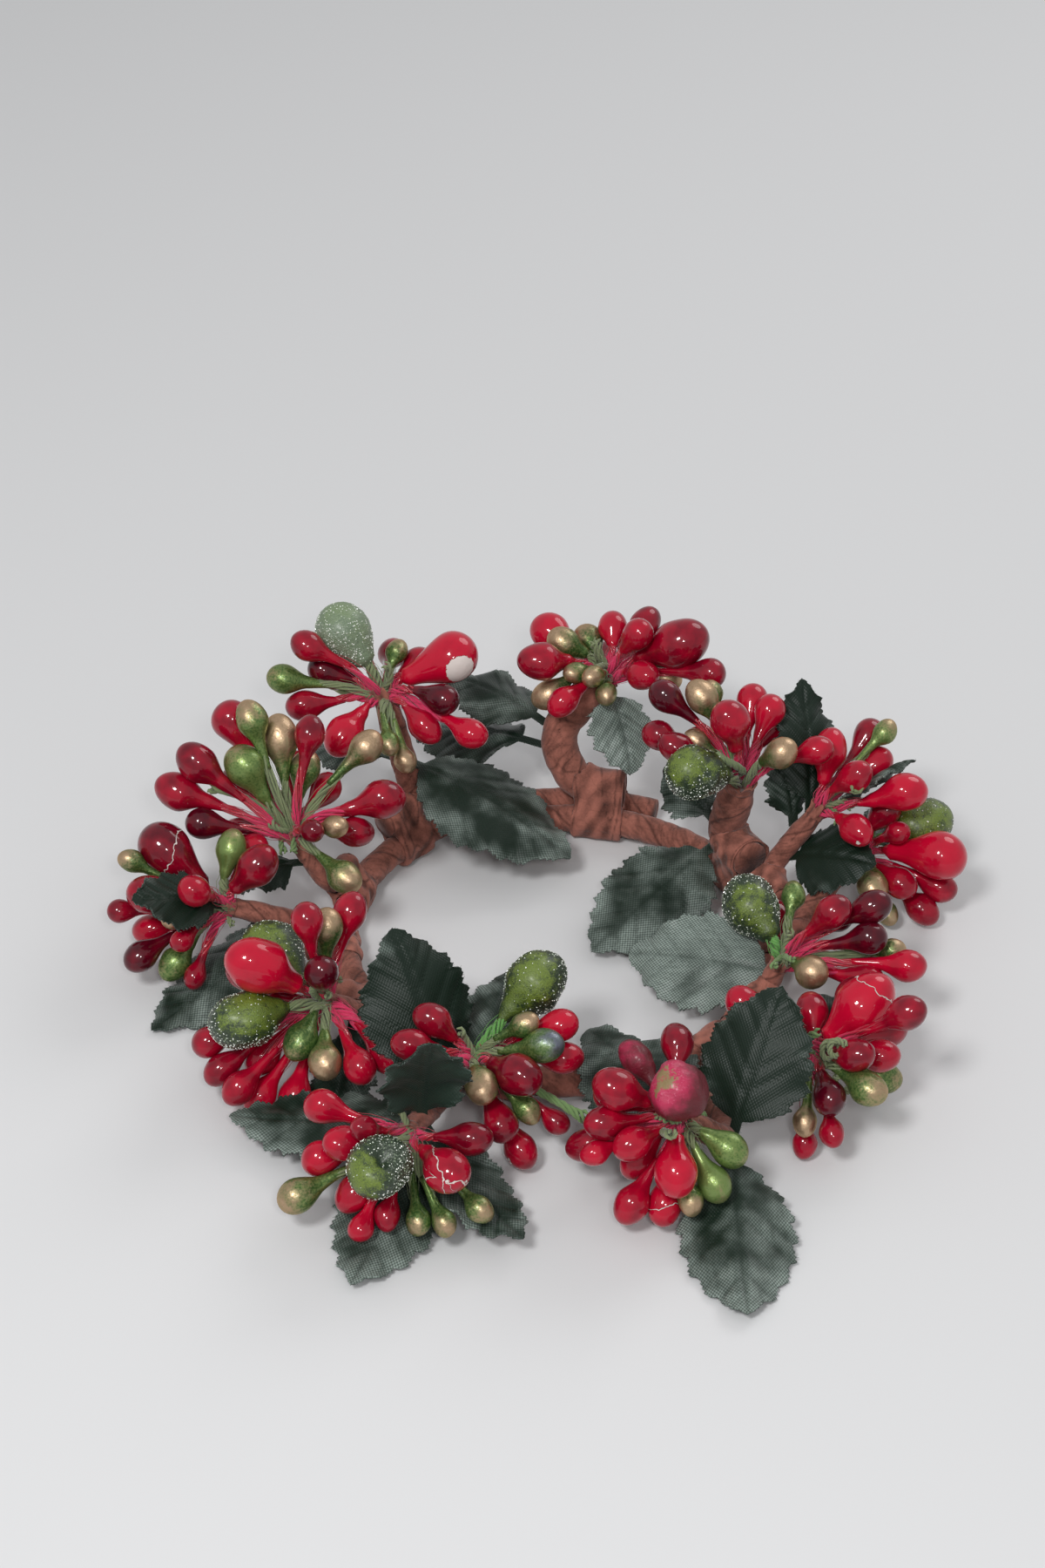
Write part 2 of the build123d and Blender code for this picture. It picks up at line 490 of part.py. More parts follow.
class Settler:
    """Bends the pips apart a little at a time, each about its seat on its knot."""

    THREAD_BALLS = 9
    BEAD_BALLS = 5

    def __init__(self, pips, blocks, block_radii):
        self.pips, self.blocks, self.block_radii = pips, blocks, block_radii
        self.heads = np.array([p.stem.head for p in pips])
        self.knots = np.array([p.stem.knot_radius for p in pips])
        self.axes = np.array([p.stem.axis for p in pips])
        self.seats = np.array([p.seat for p in pips])
        self.tips = np.array([p.tip for p in pips])
        self.lengths = np.linalg.norm(self.tips - self.seats, axis=1)
        self.wanted = self.lengths.copy()
        self.beads = np.array([p.bead_length for p in pips])
        grow = np.linspace(0, 1, self.BEAD_BALLS)
        heights = np.array([(p.bead_length - p.dia / 2) * grow for p in pips])
        bead_radii = [[bead_radius(p.dia, p.bead_length, h) for h in row]
                      for p, row in zip(pips, heights)]
        thread_radii = np.full((len(pips), self.THREAD_BALLS), thread_radius)
        self.radii = np.hstack([thread_radii, bead_radii])
        self.from_tip = self.beads[:, None] - heights

    def balls(self):
        thread = np.maximum(self.lengths - self.beads, 0)[:, None]
        on_thread = thread * np.linspace(0, 1, self.THREAD_BALLS)
        along = np.hstack([on_thread, self.lengths[:, None] - self.from_tip])
        share = along / self.lengths[:, None]
        return self.seats[:, None] + share[..., None] * (self.tips - self.seats)[:, None], share

    def renew(self):
        """Which pips and which balls of the rest are near enough to matter."""
        middle = (self.seats + self.tips) / 2
        half = self.lengths / 2 + self.radii.max(axis=1) / 2 + SETTLE_LOOK
        apart = np.linalg.norm(middle[:, None] - middle[None], axis=2)
        self.one, self.two = np.nonzero(np.triu(apart < half[:, None] + half[None], 1))
        apart = np.linalg.norm(middle[:, None] - self.blocks[None], axis=2)
        near = apart < half[:, None] + self.block_radii[None]
        from_head = np.linalg.norm(self.heads[:, None] - self.blocks[None], axis=2)
        near &= from_head > (self.knots + thread_radius)[:, None]
        self.pip, self.block = np.nonzero(near)

    def step(self):
        """One push: returns the deepest press that was found."""
        balls, share = self.balls()
        seat_move, tip_move = np.zeros_like(self.seats), np.zeros_like(self.tips)
        pushes = np.zeros(len(self.pips))
        deepest = 0.0

        def push(who, ball, way, depth):
            t = share[who, ball]
            lever = t**2 + (1 - t) ** 2
            np.add.at(seat_move, who, way * (depth * (1 - t) / lever)[:, None])
            np.add.at(tip_move, who, way * (depth * t / lever)[:, None])
            np.add.at(pushes, who, 1)

        gap = balls[self.one][:, :, None] - balls[self.two][:, None]
        apart = np.sqrt((gap**2).sum(axis=3))
        press = self.radii[self.one][:, :, None] + self.radii[self.two][:, None] + PIP_GAP - apart
        flat = press.reshape(len(press), -1)
        worst = flat.argmax(axis=1)
        row = np.arange(len(press))
        depth = flat[row, worst]
        hit = depth > 0
        a, b = np.divmod(worst[hit], self.radii.shape[1])
        way = gap[row[hit], a, b] / np.maximum(apart[row[hit], a, b], NEARLY_ZERO)[:, None]
        push(self.one[hit], a, way, depth[hit] / 2)
        push(self.two[hit], b, -way, depth[hit] / 2)
        deepest = max(deepest, depth.max(initial=0))

        gap = balls[self.pip] - self.blocks[self.block][:, None]
        apart = np.sqrt((gap**2).sum(axis=2))
        press = self.radii[self.pip] + self.block_radii[self.block][:, None] + PIP_GAP - apart
        worst = press.argmax(axis=1)
        row = np.arange(len(press))
        depth = press[row, worst]
        hit = depth > 0
        way = gap[row[hit], worst[hit]] / np.maximum(apart[row[hit], worst[hit]], NEARLY_ZERO)[:, None]
        push(self.pip[hit], worst[hit], way, depth[hit])
        deepest = max(deepest, depth.max(initial=0))

        press = self.radii + PIP_GAP - balls[:, :, 2]
        worst = press.argmax(axis=1)
        depth = press[np.arange(len(press)), worst]
        hit = np.nonzero(depth > 0)[0]
        push(hit, worst[hit], np.tile([0, 0, 1.0], (len(hit), 1)), depth[hit])
        deepest = max(deepest, depth.max(initial=0))

        share_out = 1 / np.maximum(pushes, 1)[:, None]
        self.seats += seat_move * share_out
        self.tips += tip_move * share_out
        self.hold()
        return deepest

    def hold(self):
        """Seats stay on their knots, off the stem, and threads keep near their length."""
        out = self.seats - self.heads
        out /= np.linalg.norm(out, axis=1)[:, None]
        up = (out * self.axes).sum(axis=1)
        low = up < SEAT_LOWEST_SHARE
        flat = out - up[:, None] * self.axes
        flat /= np.maximum(np.linalg.norm(flat, axis=1), NEARLY_ZERO)[:, None]
        rim = flat * math.sqrt(1 - SEAT_LOWEST_SHARE**2) + self.axes * SEAT_LOWEST_SHARE
        out[low] = rim[low]
        self.seats = self.heads + out * self.knots[:, None]
        axis = self.tips - self.seats
        reach = np.linalg.norm(axis, axis=1)
        low_share, high_share = SETTLE_STRETCH_SHARES
        shortest = np.maximum(self.wanted * low_share, self.beads + THREAD_MIN_LENGTH)
        self.lengths = np.clip(reach, shortest, self.wanted * high_share)
        self.tips = self.seats + axis * (self.lengths / reach)[:, None]

    def run(self):
        for count in range(SETTLE_STEPS):
            if count % SETTLE_RENEW == 0:
                self.renew()
            deepest = self.step()
            if deepest < PIP_GAP * SETTLE_DONE_SHARE:
                break
        for pip, seat, tip in zip(self.pips, self.seats, self.tips):
            pip.seat, pip.tip = seat, tip
        return deepest


def cut_leaf(leaf, held):
    """A leaf cut away where it passes a stem, a binding or a knot."""
    solid = leaf.solid()
    box = solid.bounding_box()
    return solid - [piece for pieces in held.values() for piece in pieces if meets(box, piece.bounding_box())]


def meets(one, two):
    return all(low <= high for low, high in (*zip(one.min, two.max), *zip(two.min, one.max)))


def save(name, solids):
    export_step(Compound(label=name, children=[s.solid() for s in solids]), f"parts/{name}.step")


def main():
    os.makedirs("parts", exist_ok=True)
    path = ring_path()
    stems = {name: Stem(name) for name in SPRAYS}
    leaves = {name: [Leaf(stems[name], row) for row in LEAF_SHARES[name]] for name in SPRAYS}
    leaf_points = np.array([p for group in leaves.values() for leaf in group for p in leaf.points()])
    nodes = collect_pips(stems, leaf_points)
    pips = [pip for group in nodes.values() for pip in group]
    centres, radii = obstacles(stems, leaf_points, path)
    left = Settler(pips, centres, radii).run()
    print(f"{len(pips)} pips, deepest press left {max(0.0, left - PIP_GAP):.2f} mm")

    wire = sweep_round(path, RING_WIRE_DIA)
    wrap = sweep_round(path, RING_WRAP_DIA, RING_WIRE_DIA)
    save("ring_core_wire", wire.solids())
    save("ring_paper_wrap", wrap.solids())
    full_wrap = sweep_round(path, RING_WRAP_DIA)
    wires, knots, bindings, held = [], [], [], {}
    for name, stem in stems.items():
        wires += stem.wire().solids()
        knots += stem.knot().solids()
        save(f"{name}_stem", stem.wrap().solids())
        foot = sweep_round(stem.path, stem.dia)
        wall, length = BINDING_WALL, BINDING_LENGTH
        if name == JOINED_SPRAY:
            wall, length = JOINT_BINDING_WALL, JOINT_BINDING_LENGTH
        lump = stem.binding(wall, length) - full_wrap - foot
        if name == JOINED_SPRAY:
            save("ring_joint_binding", lump.solids())
        else:
            bindings += lump.solids()
        held[name] = [foot, stem.binding(wall, length), Location(tuple(stem.head)) * Sphere(stem.knot_radius)]
    for name, group in leaves.items():
        save(f"{name}_leaves", [s for leaf in group for s in cut_leaf(leaf, held).solids()])
    save("stem_wires", wires)
    save("thread_knots", knots)
    save("spray_bindings", bindings)
    for node, group in nodes.items():
        save(node, [solid for pip in group for solid in pip.solids()])


if __name__ == "__main__":
    main()
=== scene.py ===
import math

import bpy
import numpy as np
from bpy.props import FloatProperty, FloatVectorProperty, IntProperty, PointerProperty
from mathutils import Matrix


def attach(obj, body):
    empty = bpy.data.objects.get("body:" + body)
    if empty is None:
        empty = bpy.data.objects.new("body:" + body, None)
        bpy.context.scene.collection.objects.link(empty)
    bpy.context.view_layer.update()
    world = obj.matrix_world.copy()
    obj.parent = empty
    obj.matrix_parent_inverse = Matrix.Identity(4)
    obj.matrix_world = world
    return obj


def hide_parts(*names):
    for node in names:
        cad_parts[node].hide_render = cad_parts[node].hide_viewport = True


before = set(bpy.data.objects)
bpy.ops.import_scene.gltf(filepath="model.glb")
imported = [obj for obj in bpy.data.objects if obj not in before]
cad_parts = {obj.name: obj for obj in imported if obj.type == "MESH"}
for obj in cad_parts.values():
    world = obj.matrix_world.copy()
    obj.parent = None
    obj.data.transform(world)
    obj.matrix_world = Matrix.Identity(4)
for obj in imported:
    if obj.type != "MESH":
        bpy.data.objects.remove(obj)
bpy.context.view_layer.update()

bl_info = {
    "name": "Candle ring",
    "version": (1, 0, 0),
    "blender": (4, 5, 0),
    "location": "3D View > Sidebar > Candle ring",
    "description": "Dresses a wired candle ring with paper tape, threads, lacquered beads and leaves",
    "category": "Object",
}

MM = 0.001
SPRAYS = sorted(name[: -len("_stem")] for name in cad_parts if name.endswith("_stem"))

# The photograph and the camera that took it
PHOTO_SIZE = (1200, 1800)
CAMERA_PLACE = np.array([-7.1, -367.7, 308.5]) * MM
CAMERA_PITCH = 36.594
CAMERA_LENS = 67.2
CAMERA_SENSOR = 36.0

# Red beads, by their pixels in the photograph: the brightest, the deep ones and the darkest
BRIGHT_BEADS = ((520, 755), (400, 832), (285, 1115), (1080, 990), (1000, 1150), (960, 870),
                (645, 722), (1040, 905), (545, 845), (780, 1355), (640, 1175))
DEEP_BEADS = ((205, 985), (600, 1240), (545, 1290))
DARK_BEADS = ((375, 768), (505, 800), (965, 1048), (1012, 1045), (990, 1078), (1000, 1105),
              (232, 942), (757, 800), (160, 1102), (365, 1128), (950, 1270))
# Green beads: brushed with the most gold, with the least, the freshest green, and the silvered one
GILDED_BEADS = ((315, 845), (425, 860), (455, 880), (388, 955), (790, 850), (928, 1305),
                (625, 805), (798, 788))
GREENER_BEADS = ((270, 860), (330, 772), (905, 1025), (195, 1115), (342, 1200), (822, 1335),
                 (825, 1372), (265, 965))
FRESH_BEADS = ((825, 1372), (265, 965))
SILVERED_BEADS = ((630, 1200),)
# What those beads are: their kind, the value that tells them apart, and how much they have of it
BEAD_LOOKS = ((BRIGHT_BEADS, "red", "tone", 0.97), (DARK_BEADS, "red", "tone", 0.10),
              (DEEP_BEADS, "red", "tone", 0.32), (GILDED_BEADS, "green", "gild", 0.95),
              (GREENER_BEADS, "green", "gild", 0.1), (FRESH_BEADS, "green", "fresh", 1.4),
              (SILVERED_BEADS, "green", "silver", 1.0))
# The sugared bead that is pressed in like a button, and the one that is frosted all over
PRESSED_BEAD = (442, 1325)
FROSTED_BEAD = (400, 745)
# Where lacquer has come off: the pixel, and the bare patch's radius in millimetres
CHIPS = ((528, 768, 2.6), (633, 740, 1.3), (728, 752, 1.1), (1058, 970, 1.2), (985, 968, 0.5),
         (338, 1160, 1.2), (348, 1285, 0.9), (660, 735, 0.8))
# Where the lacquer film has split: two pixels that the line runs through
SEAMS = ((500, 1354, 545, 1360), (560, 1310, 600, 1352), (770, 1385, 805, 1380),
         (501, 1330, 508, 1352), (205, 955, 192, 1000), (1000, 1132, 1020, 1146))

# Thick loops of thread that the lacquer has hardly reached
LOOSE_THREADS = ((352, 922), (372, 925), (400, 1165), (425, 1180), (535, 1213), (955, 1125),
                 (495, 790), (690, 1290))
# Curled thread: the spray, the pixel that it reaches, its turns and its curl in millimetres
CURLED_THREADS = ((12, 964, 1202, 2.5, 1.5), (12, 980, 1248, 2.0, 1.3))
# Cut thread: the spray, a pixel that it passes, the pixel of its end, and how bright its dye is
CUT_THREADS = ((10, 615, 1250, 672, 1284, 0.4), (4, 690, 760, 678, 775, 0.0),
               (8, 350, 1140, 372, 1120, 0.2), (6, 305, 920, 240, 903, 0.1),
               (2, 960, 900, 985, 905, 0.1), (11, 750, 1300, 772, 1302, 0.0),
               (3, 850, 880, 822, 868, 0.1))
# Sprays whose sugared beads hang on thread of a brighter green
BRIGHT_THREAD_SPRAYS = (10, 1, 13)

# Leaves, by pixel, whose weave shows palest with painted satin sheen, a little, or hardly at all, the last
# ones darkened as painted shade
PALE_LEAVES = ((800, 1115), (700, 835))
MILD_SHEEN_LEAVES = ((845, 1450), (420, 1465), (760, 1050))
SHADED_LEAVES = ((870, 1230), (500, 1270), (265, 1060), (940, 860), (460, 1100), (925, 1010),
               (345, 1010))
# How pale they are, and how pale the other leaves are
LEAF_LOOKS = ((PALE_LEAVES, 0.88), (MILD_SHEEN_LEAVES, 0.36), (SHADED_LEAVES, -0.25))
USUAL_LEAF = 0.22

# The way that the green beads' painted gold highlight faces, and the ways that the sugared and pink beads are
# worn from and painted lit from
GOLD_HIGHLIGHT_FROM = np.array([-0.1, -0.5, 0.86])
SUGAR_LIT_AND_WORN_FROM = np.array([-0.25, -0.55, 0.8])
PINK_LIT_AND_WORN_FROM = np.array([-0.55, -0.25, 0.8])

# Sizes of the frame's own pieces, by which its solids are told apart and followed
WELD = 0.001 * MM
THINNEST_BEAD = 2 * MM
STEM_WIRE_REACH = 0.8 * MM
STALK_HALF_WIDTH = 0.8 * MM

# How fine the meshes are: along and round the tape, over a binding, and along and across a leaf
TAPE_ROW = 0.22 * MM
TAPE_COLUMN = 0.26 * MM
BINDING_VOXEL = 0.3 * MM
LEAF_ROW = 0.17 * MM
LEAF_HALF_COLUMNS = 15
THREAD_ROWS = 16
# The diameter above which a bead gets the finer mesh
BIG_BEAD = 5 * MM

# Stray fibres on each pip's thread, and cut stubs of thread in each knot
STRAYS = 4
STUBS = 3
# The tubes of a binding are followed this far from its middle
BINDING_REACH = 14 * MM
# A leaf clears a bead by this much, and isn't lifted farther than this for one
LEAF_CLEARANCE = 0.35 * MM
MOST_LIFT = 3.5 * MM

# The lamps: each one's name, place, size across, and power as a share of the key light's
LAMPS = (("key", (-0.22, -0.42, 0.62), 0.16, 1.0), ("ring light", (0.03, -0.40, 0.36), 0.05, 0.16),
         ("rim", (0.35, 0.40, 0.45), 0.35, 0.35))
LAMP_TARGET = (0, 0, 15 * MM)
FLOOR_REACH = 4.0


def unit(v):
    """A vector, or each vector of a table, at a length of one."""
    return v / np.linalg.norm(v, axis=-1, keepdims=True)


def ease(x):
    """Nought below 0, one above 1, and smooth between."""
    x = np.clip(x, 0, 1)
    return x * x * (3 - 2 * x)


# Reading the frame


def welded(name):
    """A node's points, merged where they meet, and its triangles."""
    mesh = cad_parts[name].data
    points = np.empty(len(mesh.vertices) * 3)
    mesh.vertices.foreach_get("co", points)
    points = points.reshape(-1, 3)
    corners = np.empty(len(mesh.loops), int)
    mesh.loops.foreach_get("vertex_index", corners)
    keys = np.round(points / WELD)
    _, first, same = np.unique(keys, axis=0, return_index=True, return_inverse=True)
    return points[first], same.ravel()[corners].reshape(-1, 3)


def loose_parts(name):
    """The separate solids of a node, each as points and triangles."""
    points, faces = welded(name)
    label = np.arange(len(points))
    while True:
        low = label[faces].min(axis=1)
        lower = label.copy()
        for corner in faces.T:
            np.minimum.at(lower, corner, low)
        lower = lower[lower]
        if np.array_equal(lower, label):
            break
        label = lower
    parts = []
    for first in np.unique(label):
        mine = label == first
        number = np.cumsum(mine) - 1
        parts.append((points[mine], number[faces[mine[faces[:, 0]]]]))
    return parts


def areas_and_centres(points, faces):
    """Each triangle's normal, as long as its area is large, its area and its middle."""
    a, b, c = (points[faces[:, i]] for i in range(3))
    normals = np.cross(b - a, c - a) / 2
    return normals, np.linalg.norm(normals, axis=1), (a + b + c) / 3


def skin_middle(points, faces):
    """The middle of a solid's surface."""
    _, area, centre = areas_and_centres(points, faces)
    return (centre * area[:, None]).sum(axis=0) / area.sum()


def fit_ball(points):
    """The centre and radius of the ball that the points lie on."""
    about = points.mean(axis=0)
    p = (points - about) / MM
    found = np.linalg.lstsq(np.c_[2 * p, np.ones(len(p))], (p**2).sum(axis=1), rcond=None)[0]
    centre = found[:3]
    return about + centre * MM, math.sqrt(found[3] + centre @ centre) * MM


def edges_of(faces):
    """The triangles' edges, each once."""
    sides = np.vstack([faces[:, [0, 1]], faces[:, [1, 2]], faces[:, [2, 0]]])
    return np.unique(np.sort(sides, axis=1), axis=0)


def farthest_along(points, faces, start):
    """The point whose way over the surface from a start is the longest."""
    a, b = edges_of(faces).T
    lengths = np.linalg.norm(points[a] - points[b], axis=1)
    way = np.full(len(points), np.inf)
    way[start] = 0.0
    while True:
        shorter = way.copy()
        np.minimum.at(shorter, a, way[b] + lengths)
        np.minimum.at(shorter, b, way[a] + lengths)
        if np.array_equal(shorter, way):
            return points[way.argmax()]
        way = shorter


def end_face(points, faces, near, reach=MM, level=0.02 * MM):
    """The middle of a wire's flat end near a point, and the way from it into the wire."""
    normals, area, centre = areas_and_centres(points, faces)
    close = np.linalg.norm(centre - near, axis=1) < reach
    ways = unit(normals[close])
    way = ways[((ways @ ways.T > 0.999) * area[close]).sum(axis=1).argmax()]
    on_face = np.abs((points - near) @ way) < level
    rim = points[on_face & (np.linalg.norm(points - near, axis=1) < reach)]
    return rim.mean(axis=0), -way


def follow(points, faces, at, way, reach, step=0.5 * MM):
    """The middle of a tube from one of its places onwards, to its end."""
    edges = edges_of(faces)
    a, b = points[edges[:, 0]], points[edges[:, 1]]
    found = [at]
    while True:
        ahead = at + way * step
        da, db = (a - ahead) @ way, (b - ahead) @ way
        cut = (da < 0) != (db < 0)
        spots = a[cut] + (b[cut] - a[cut]) * (da[cut] / (da[cut] - db[cut]))[:, None]
        spots = spots[np.linalg.norm(spots - ahead, axis=1) < reach]
        if len(spots) < 6:
            break
        ahead = spots.mean(axis=0)
        way = unit(ahead - at)
        at = ahead
        found.append(at)
    last = points[np.linalg.norm(points - at, axis=1) < reach + step]
    return np.array([*found, at + way * max(0.0, ((last - at) @ way).max())])


def even(line, step):
    """The line again, with points an even step apart."""
    run = np.r_[0, np.cumsum(np.linalg.norm(np.diff(line, axis=0), axis=1))]
    along = np.linspace(0, run[-1], max(3, int(round(run[-1] / step)) + 1))
    return np.stack([np.interp(along, run, line[:, i]) for i in range(3)], axis=1), along


def distance_to(line, points):
    """How far each point is from the nearest point of a line."""
    return np.linalg.norm(points[:, None] - line[None], axis=2).min(axis=1)


class Spray:
    """One spray's stem, from its foot on the ring to its head."""

    def __init__(self, name, wires, knots):
        self.name, self.number = name, int(name[-2:])
        points, _ = welded(name + "_stem")
        gaps = [distance_to(points, centre[None])[0] - radius for centre, radius in knots]
        self.head, self.knot_radius = knots[int(np.argmin(np.abs(gaps)))]
        gaps = [np.linalg.norm(p - self.head, axis=1).min() for p, _ in wires]
        wire, faces = wires[int(np.argmin(gaps))]
        far = farthest_along(wire, faces, np.linalg.norm(wire - self.head, axis=1).argmin())
        foot, way = end_face(wire, faces, far)
        self.line, _ = even(follow(wire, faces, foot, way, STEM_WIRE_REACH), 0.3 * MM)
        self.axis = unit(self.line[-1] - self.line[-6])
        self.radius = distance_to(self.line, points).max()


class Pip:
    """A bead and its thread: where it starts on the knot, its neck, its tip and its size."""

    def __init__(self, node, bead, thread, sprays):
        self.node, self.kind = node, node.split("_")[-2]
        middle, seat = skin_middle(*bead), skin_middle(*thread)
        self.axis = unit(middle - seat)
        heights = (bead[0] - middle) @ self.axis
        self.neck, self.tip = middle + self.axis * heights.min(), middle + self.axis * heights.max()
        self.length = heights.max() - heights.min()
        off = (bead[0] - middle) - heights[:, None] * self.axis
        self.dia = 2 * np.linalg.norm(off, axis=1).max()
        self.foot = seat + self.axis * ((thread[0] - seat) @ self.axis).min()
        self.spray = min(sprays, key=lambda s: abs(np.linalg.norm(self.foot - s.head) - s.knot_radius))
        self.belly = self.tip - self.axis * self.dia / 2
        self.silver, self.fresh, self.loose, self.marks = 0.0, 0.0, False, []


def read_pips(node, sprays):
    """A node's pips: each bead with the thread that ends at its neck, in line with it."""
    parts = loose_parts(node)
    turned = [p @ np.linalg.svd(p - p.mean(axis=0), full_matrices=False)[2].T for p, _ in parts]
    thin = [np.ptp(p, axis=0).min() < THINNEST_BEAD for p in turned]
    threads = [part for part, is_thin in zip(parts, thin) if is_thin]
    pips = []
    for bead in (part for part, is_thin in zip(parts, thin) if not is_thin):
        tries = [Pip(node, bead, thread, sprays) for thread in threads]
        misfits = []
        for pip, (points, _) in zip(tries, threads):
            reach = ((points - pip.neck) @ pip.axis).max()
            off = np.linalg.norm(np.cross(points - pip.neck, pip.axis), axis=1).max()
            misfits.append(abs(reach) + off)
        pips.append(tries[int(np.argmin(misfits))])
    return pips


class LeafPlace:
    """A leaf's bend, its two ends, its width and its upper side."""

    def __init__(self, points, faces, spray):
        normals, area, centre = areas_and_centres(points, faces)
        spread = normals[:, :, None] * normals[:, None] / area[:, None, None]
        skins = np.abs(unit(normals) @ np.linalg.eigh(spread.sum(axis=0))[1][:, 2]) > 0.6
        self.side = np.linalg.eigh(spread[skins].sum(axis=0))[1][:, 0]
        middle = (centre * area[:, None]).sum(axis=0) / area.sum()
        flat = (points - middle) - ((points - middle) @ self.side)[:, None] * self.side
        along = np.linalg.svd(flat, full_matrices=False)[2][0]
        up = np.cross(self.side, along)
        x, z = flat @ along / MM, flat @ up / MM
        found = np.linalg.lstsq(np.c_[2 * x, 2 * z, np.ones(len(x))], x**2 + z**2, rcond=None)[0]
        self.drum = math.sqrt(found[2] + found[0] ** 2 + found[1] ** 2) * MM
        self.hub = middle + (along * found[0] + up * found[1]) * MM
        self.out = unit(middle - self.hub)
        self.ahead = unit(along - self.out * (along @ self.out))
        self.middle_y, self.up = 0.0, 1.0 if self.out[2] > 0 else -1.0
        ends = [self.at(self.run(points).min()), self.at(self.run(points).max())]
        near, far = (distance_to(spray.line, end[None]) for end in ends)
        if near > far:
            self.ahead = -self.ahead
        runs, across = self.run(points), (points - self.hub) @ self.side
        self.middle_y = (across.max() + across.min()) / 2
        across = np.abs(across - self.middle_y)
        self.base, self.tip = runs.min(), runs.max()
        stalk = (np.abs(across - STALK_HALF_WIDTH) < 0.12 * MM) & (runs < (self.base + self.tip) / 2)
        self.blade = runs[stalk].max() if stalk.any() else self.base + MM
        self.half_width = across.max()

    def run(self, points):
        """How far along the bend each point is from the leaf's middle."""
        rel = points - self.hub
        return self.drum * np.arctan2(rel @ self.ahead, rel @ self.out)

    def at(self, run, across=0.0, height=0.0):
        """A place by its run from the leaf's middle, across it, and above its upper side."""
        turn = np.asarray(run) / self.drum
        radial = np.cos(turn)[..., None] * self.out + np.sin(turn)[..., None] * self.ahead
        reach = self.drum + self.up * np.asarray(height)
        aside = np.asarray(across + self.middle_y)
        return self.hub + radial * reach[..., None] + aside[..., None] * self.side


# The photograph's camera


def photo_axes():
    """The camera's right, ahead and up."""
    pitch = math.radians(CAMERA_PITCH)
    right, ahead = np.array([1.0, 0, 0]), np.array([0, math.cos(pitch), -math.sin(pitch)])
    return right, ahead, np.cross(right, ahead)


def photo_ray(x, y):
    """The way from the camera through a pixel of the photograph."""
    right, ahead, up = photo_axes()
    focal = CAMERA_LENS / CAMERA_SENSOR * PHOTO_SIZE[1]
    return unit((x - PHOTO_SIZE[0] / 2) * right - (y - PHOTO_SIZE[1] / 2) * up + focal * ahead)


def nearest_to_pixel(things, middles, x, y):
    """The thing whose middle lies nearest to the camera's ray through a pixel."""
    ray = photo_ray(x, y)
    rel = middles - CAMERA_PLACE
    off = np.linalg.norm(rel - (rel @ ray)[:, None] * ray, axis=1)
    return things[int(off.argmin())]


def swell_to_fit(pips):
    """How much larger each bead may be than its solid before it meets another."""
    middles, radii = np.array([p.belly for p in pips]), np.array([p.dia / 2 for p in pips])
    for pip, radius in zip(pips, radii):
        gaps = np.linalg.norm(middles - pip.belly, axis=1) - radii - radius
        gaps[gaps < -radius] = np.inf
        pip.swell = np.clip(0.45 * gaps.min(), 0, 0.13 * radius)


def aimed_at(pips, x, y):
    """The pip whose bead the camera sees at a pixel, and the place there on its bead."""
    ray = photo_ray(x, y)
    best = None
    for pip in pips:
        rel = pip.belly - CAMERA_PLACE
        off = np.linalg.norm(rel - ray * (rel @ ray))
        score = off / (pip.dia / 2) + 0.02 * (rel @ ray) / MM / 10
        if best is None or score < best[0]:
            best = (score, pip, rel @ ray, off)
    _, pip, reach, off = best
    back = math.sqrt(max(0.0, (pip.dia / 2) ** 2 - off**2))
    return pip, CAMERA_PLACE + ray * (reach - back)


# Meshes


def carried(line):
    """Directions along a line and across it, carried along without twisting."""
    along = unit(np.gradient(line, axis=0))
    side = np.cross(along[0], [0.31, 0.17, 0.94])
    across = []
    for way in along:
        side = unit(side - way * (side @ way))
        across.append(side)
    across = np.array(across)
    return along, across, np.cross(along, across)


def round_angles(rows, sides):
    """The angle of each of a tube's points, the same in all its rows."""
    return np.broadcast_to(np.arange(sides) * 2 * math.pi / sides, (rows, sides))


def tube(line, radii, angles):
    """Points round a line, one row for each of its points."""
    _, across, up = carried(line)
    out = across[:, None] * np.cos(angles)[..., None] + up[:, None] * np.sin(angles)[..., None]
    return line[:, None] + out * radii[..., None]


def loop_faces(rows, sides):
    """Faces between rows of points that each close on themselves, with both ends closed."""
    row, side = (g.ravel() for g in np.meshgrid(np.arange(rows - 1), np.arange(sides), indexing="ij"))
    after, here, there = (side + 1) % sides, row * sides, (row + 1) * sides
    quads = np.stack([here + side, here + after, there + after, there + side], 1)
    ring, last = np.arange(sides), (rows - 1) * sides
    after = (ring + 1) % sides
    start = np.stack([np.full(sides, rows * sides), after, ring], 1)
    end = np.stack([np.full(sides, rows * sides + 1), last + ring, last + after], 1)
    return [quads, start, end]


def with_poles(rows, start, end):
    """A tube's points in one table, with its two poles last."""
    return np.vstack([rows.reshape(-1, 3), start, end])


def pole_values(grid, start=None, end=None):
    """A value for each point of a closed tube, with its two poles last."""
    start = grid[0].mean() if start is None else start
    end = grid[-1].mean() if end is None else end
    return np.r_[grid.ravel(), start, end]


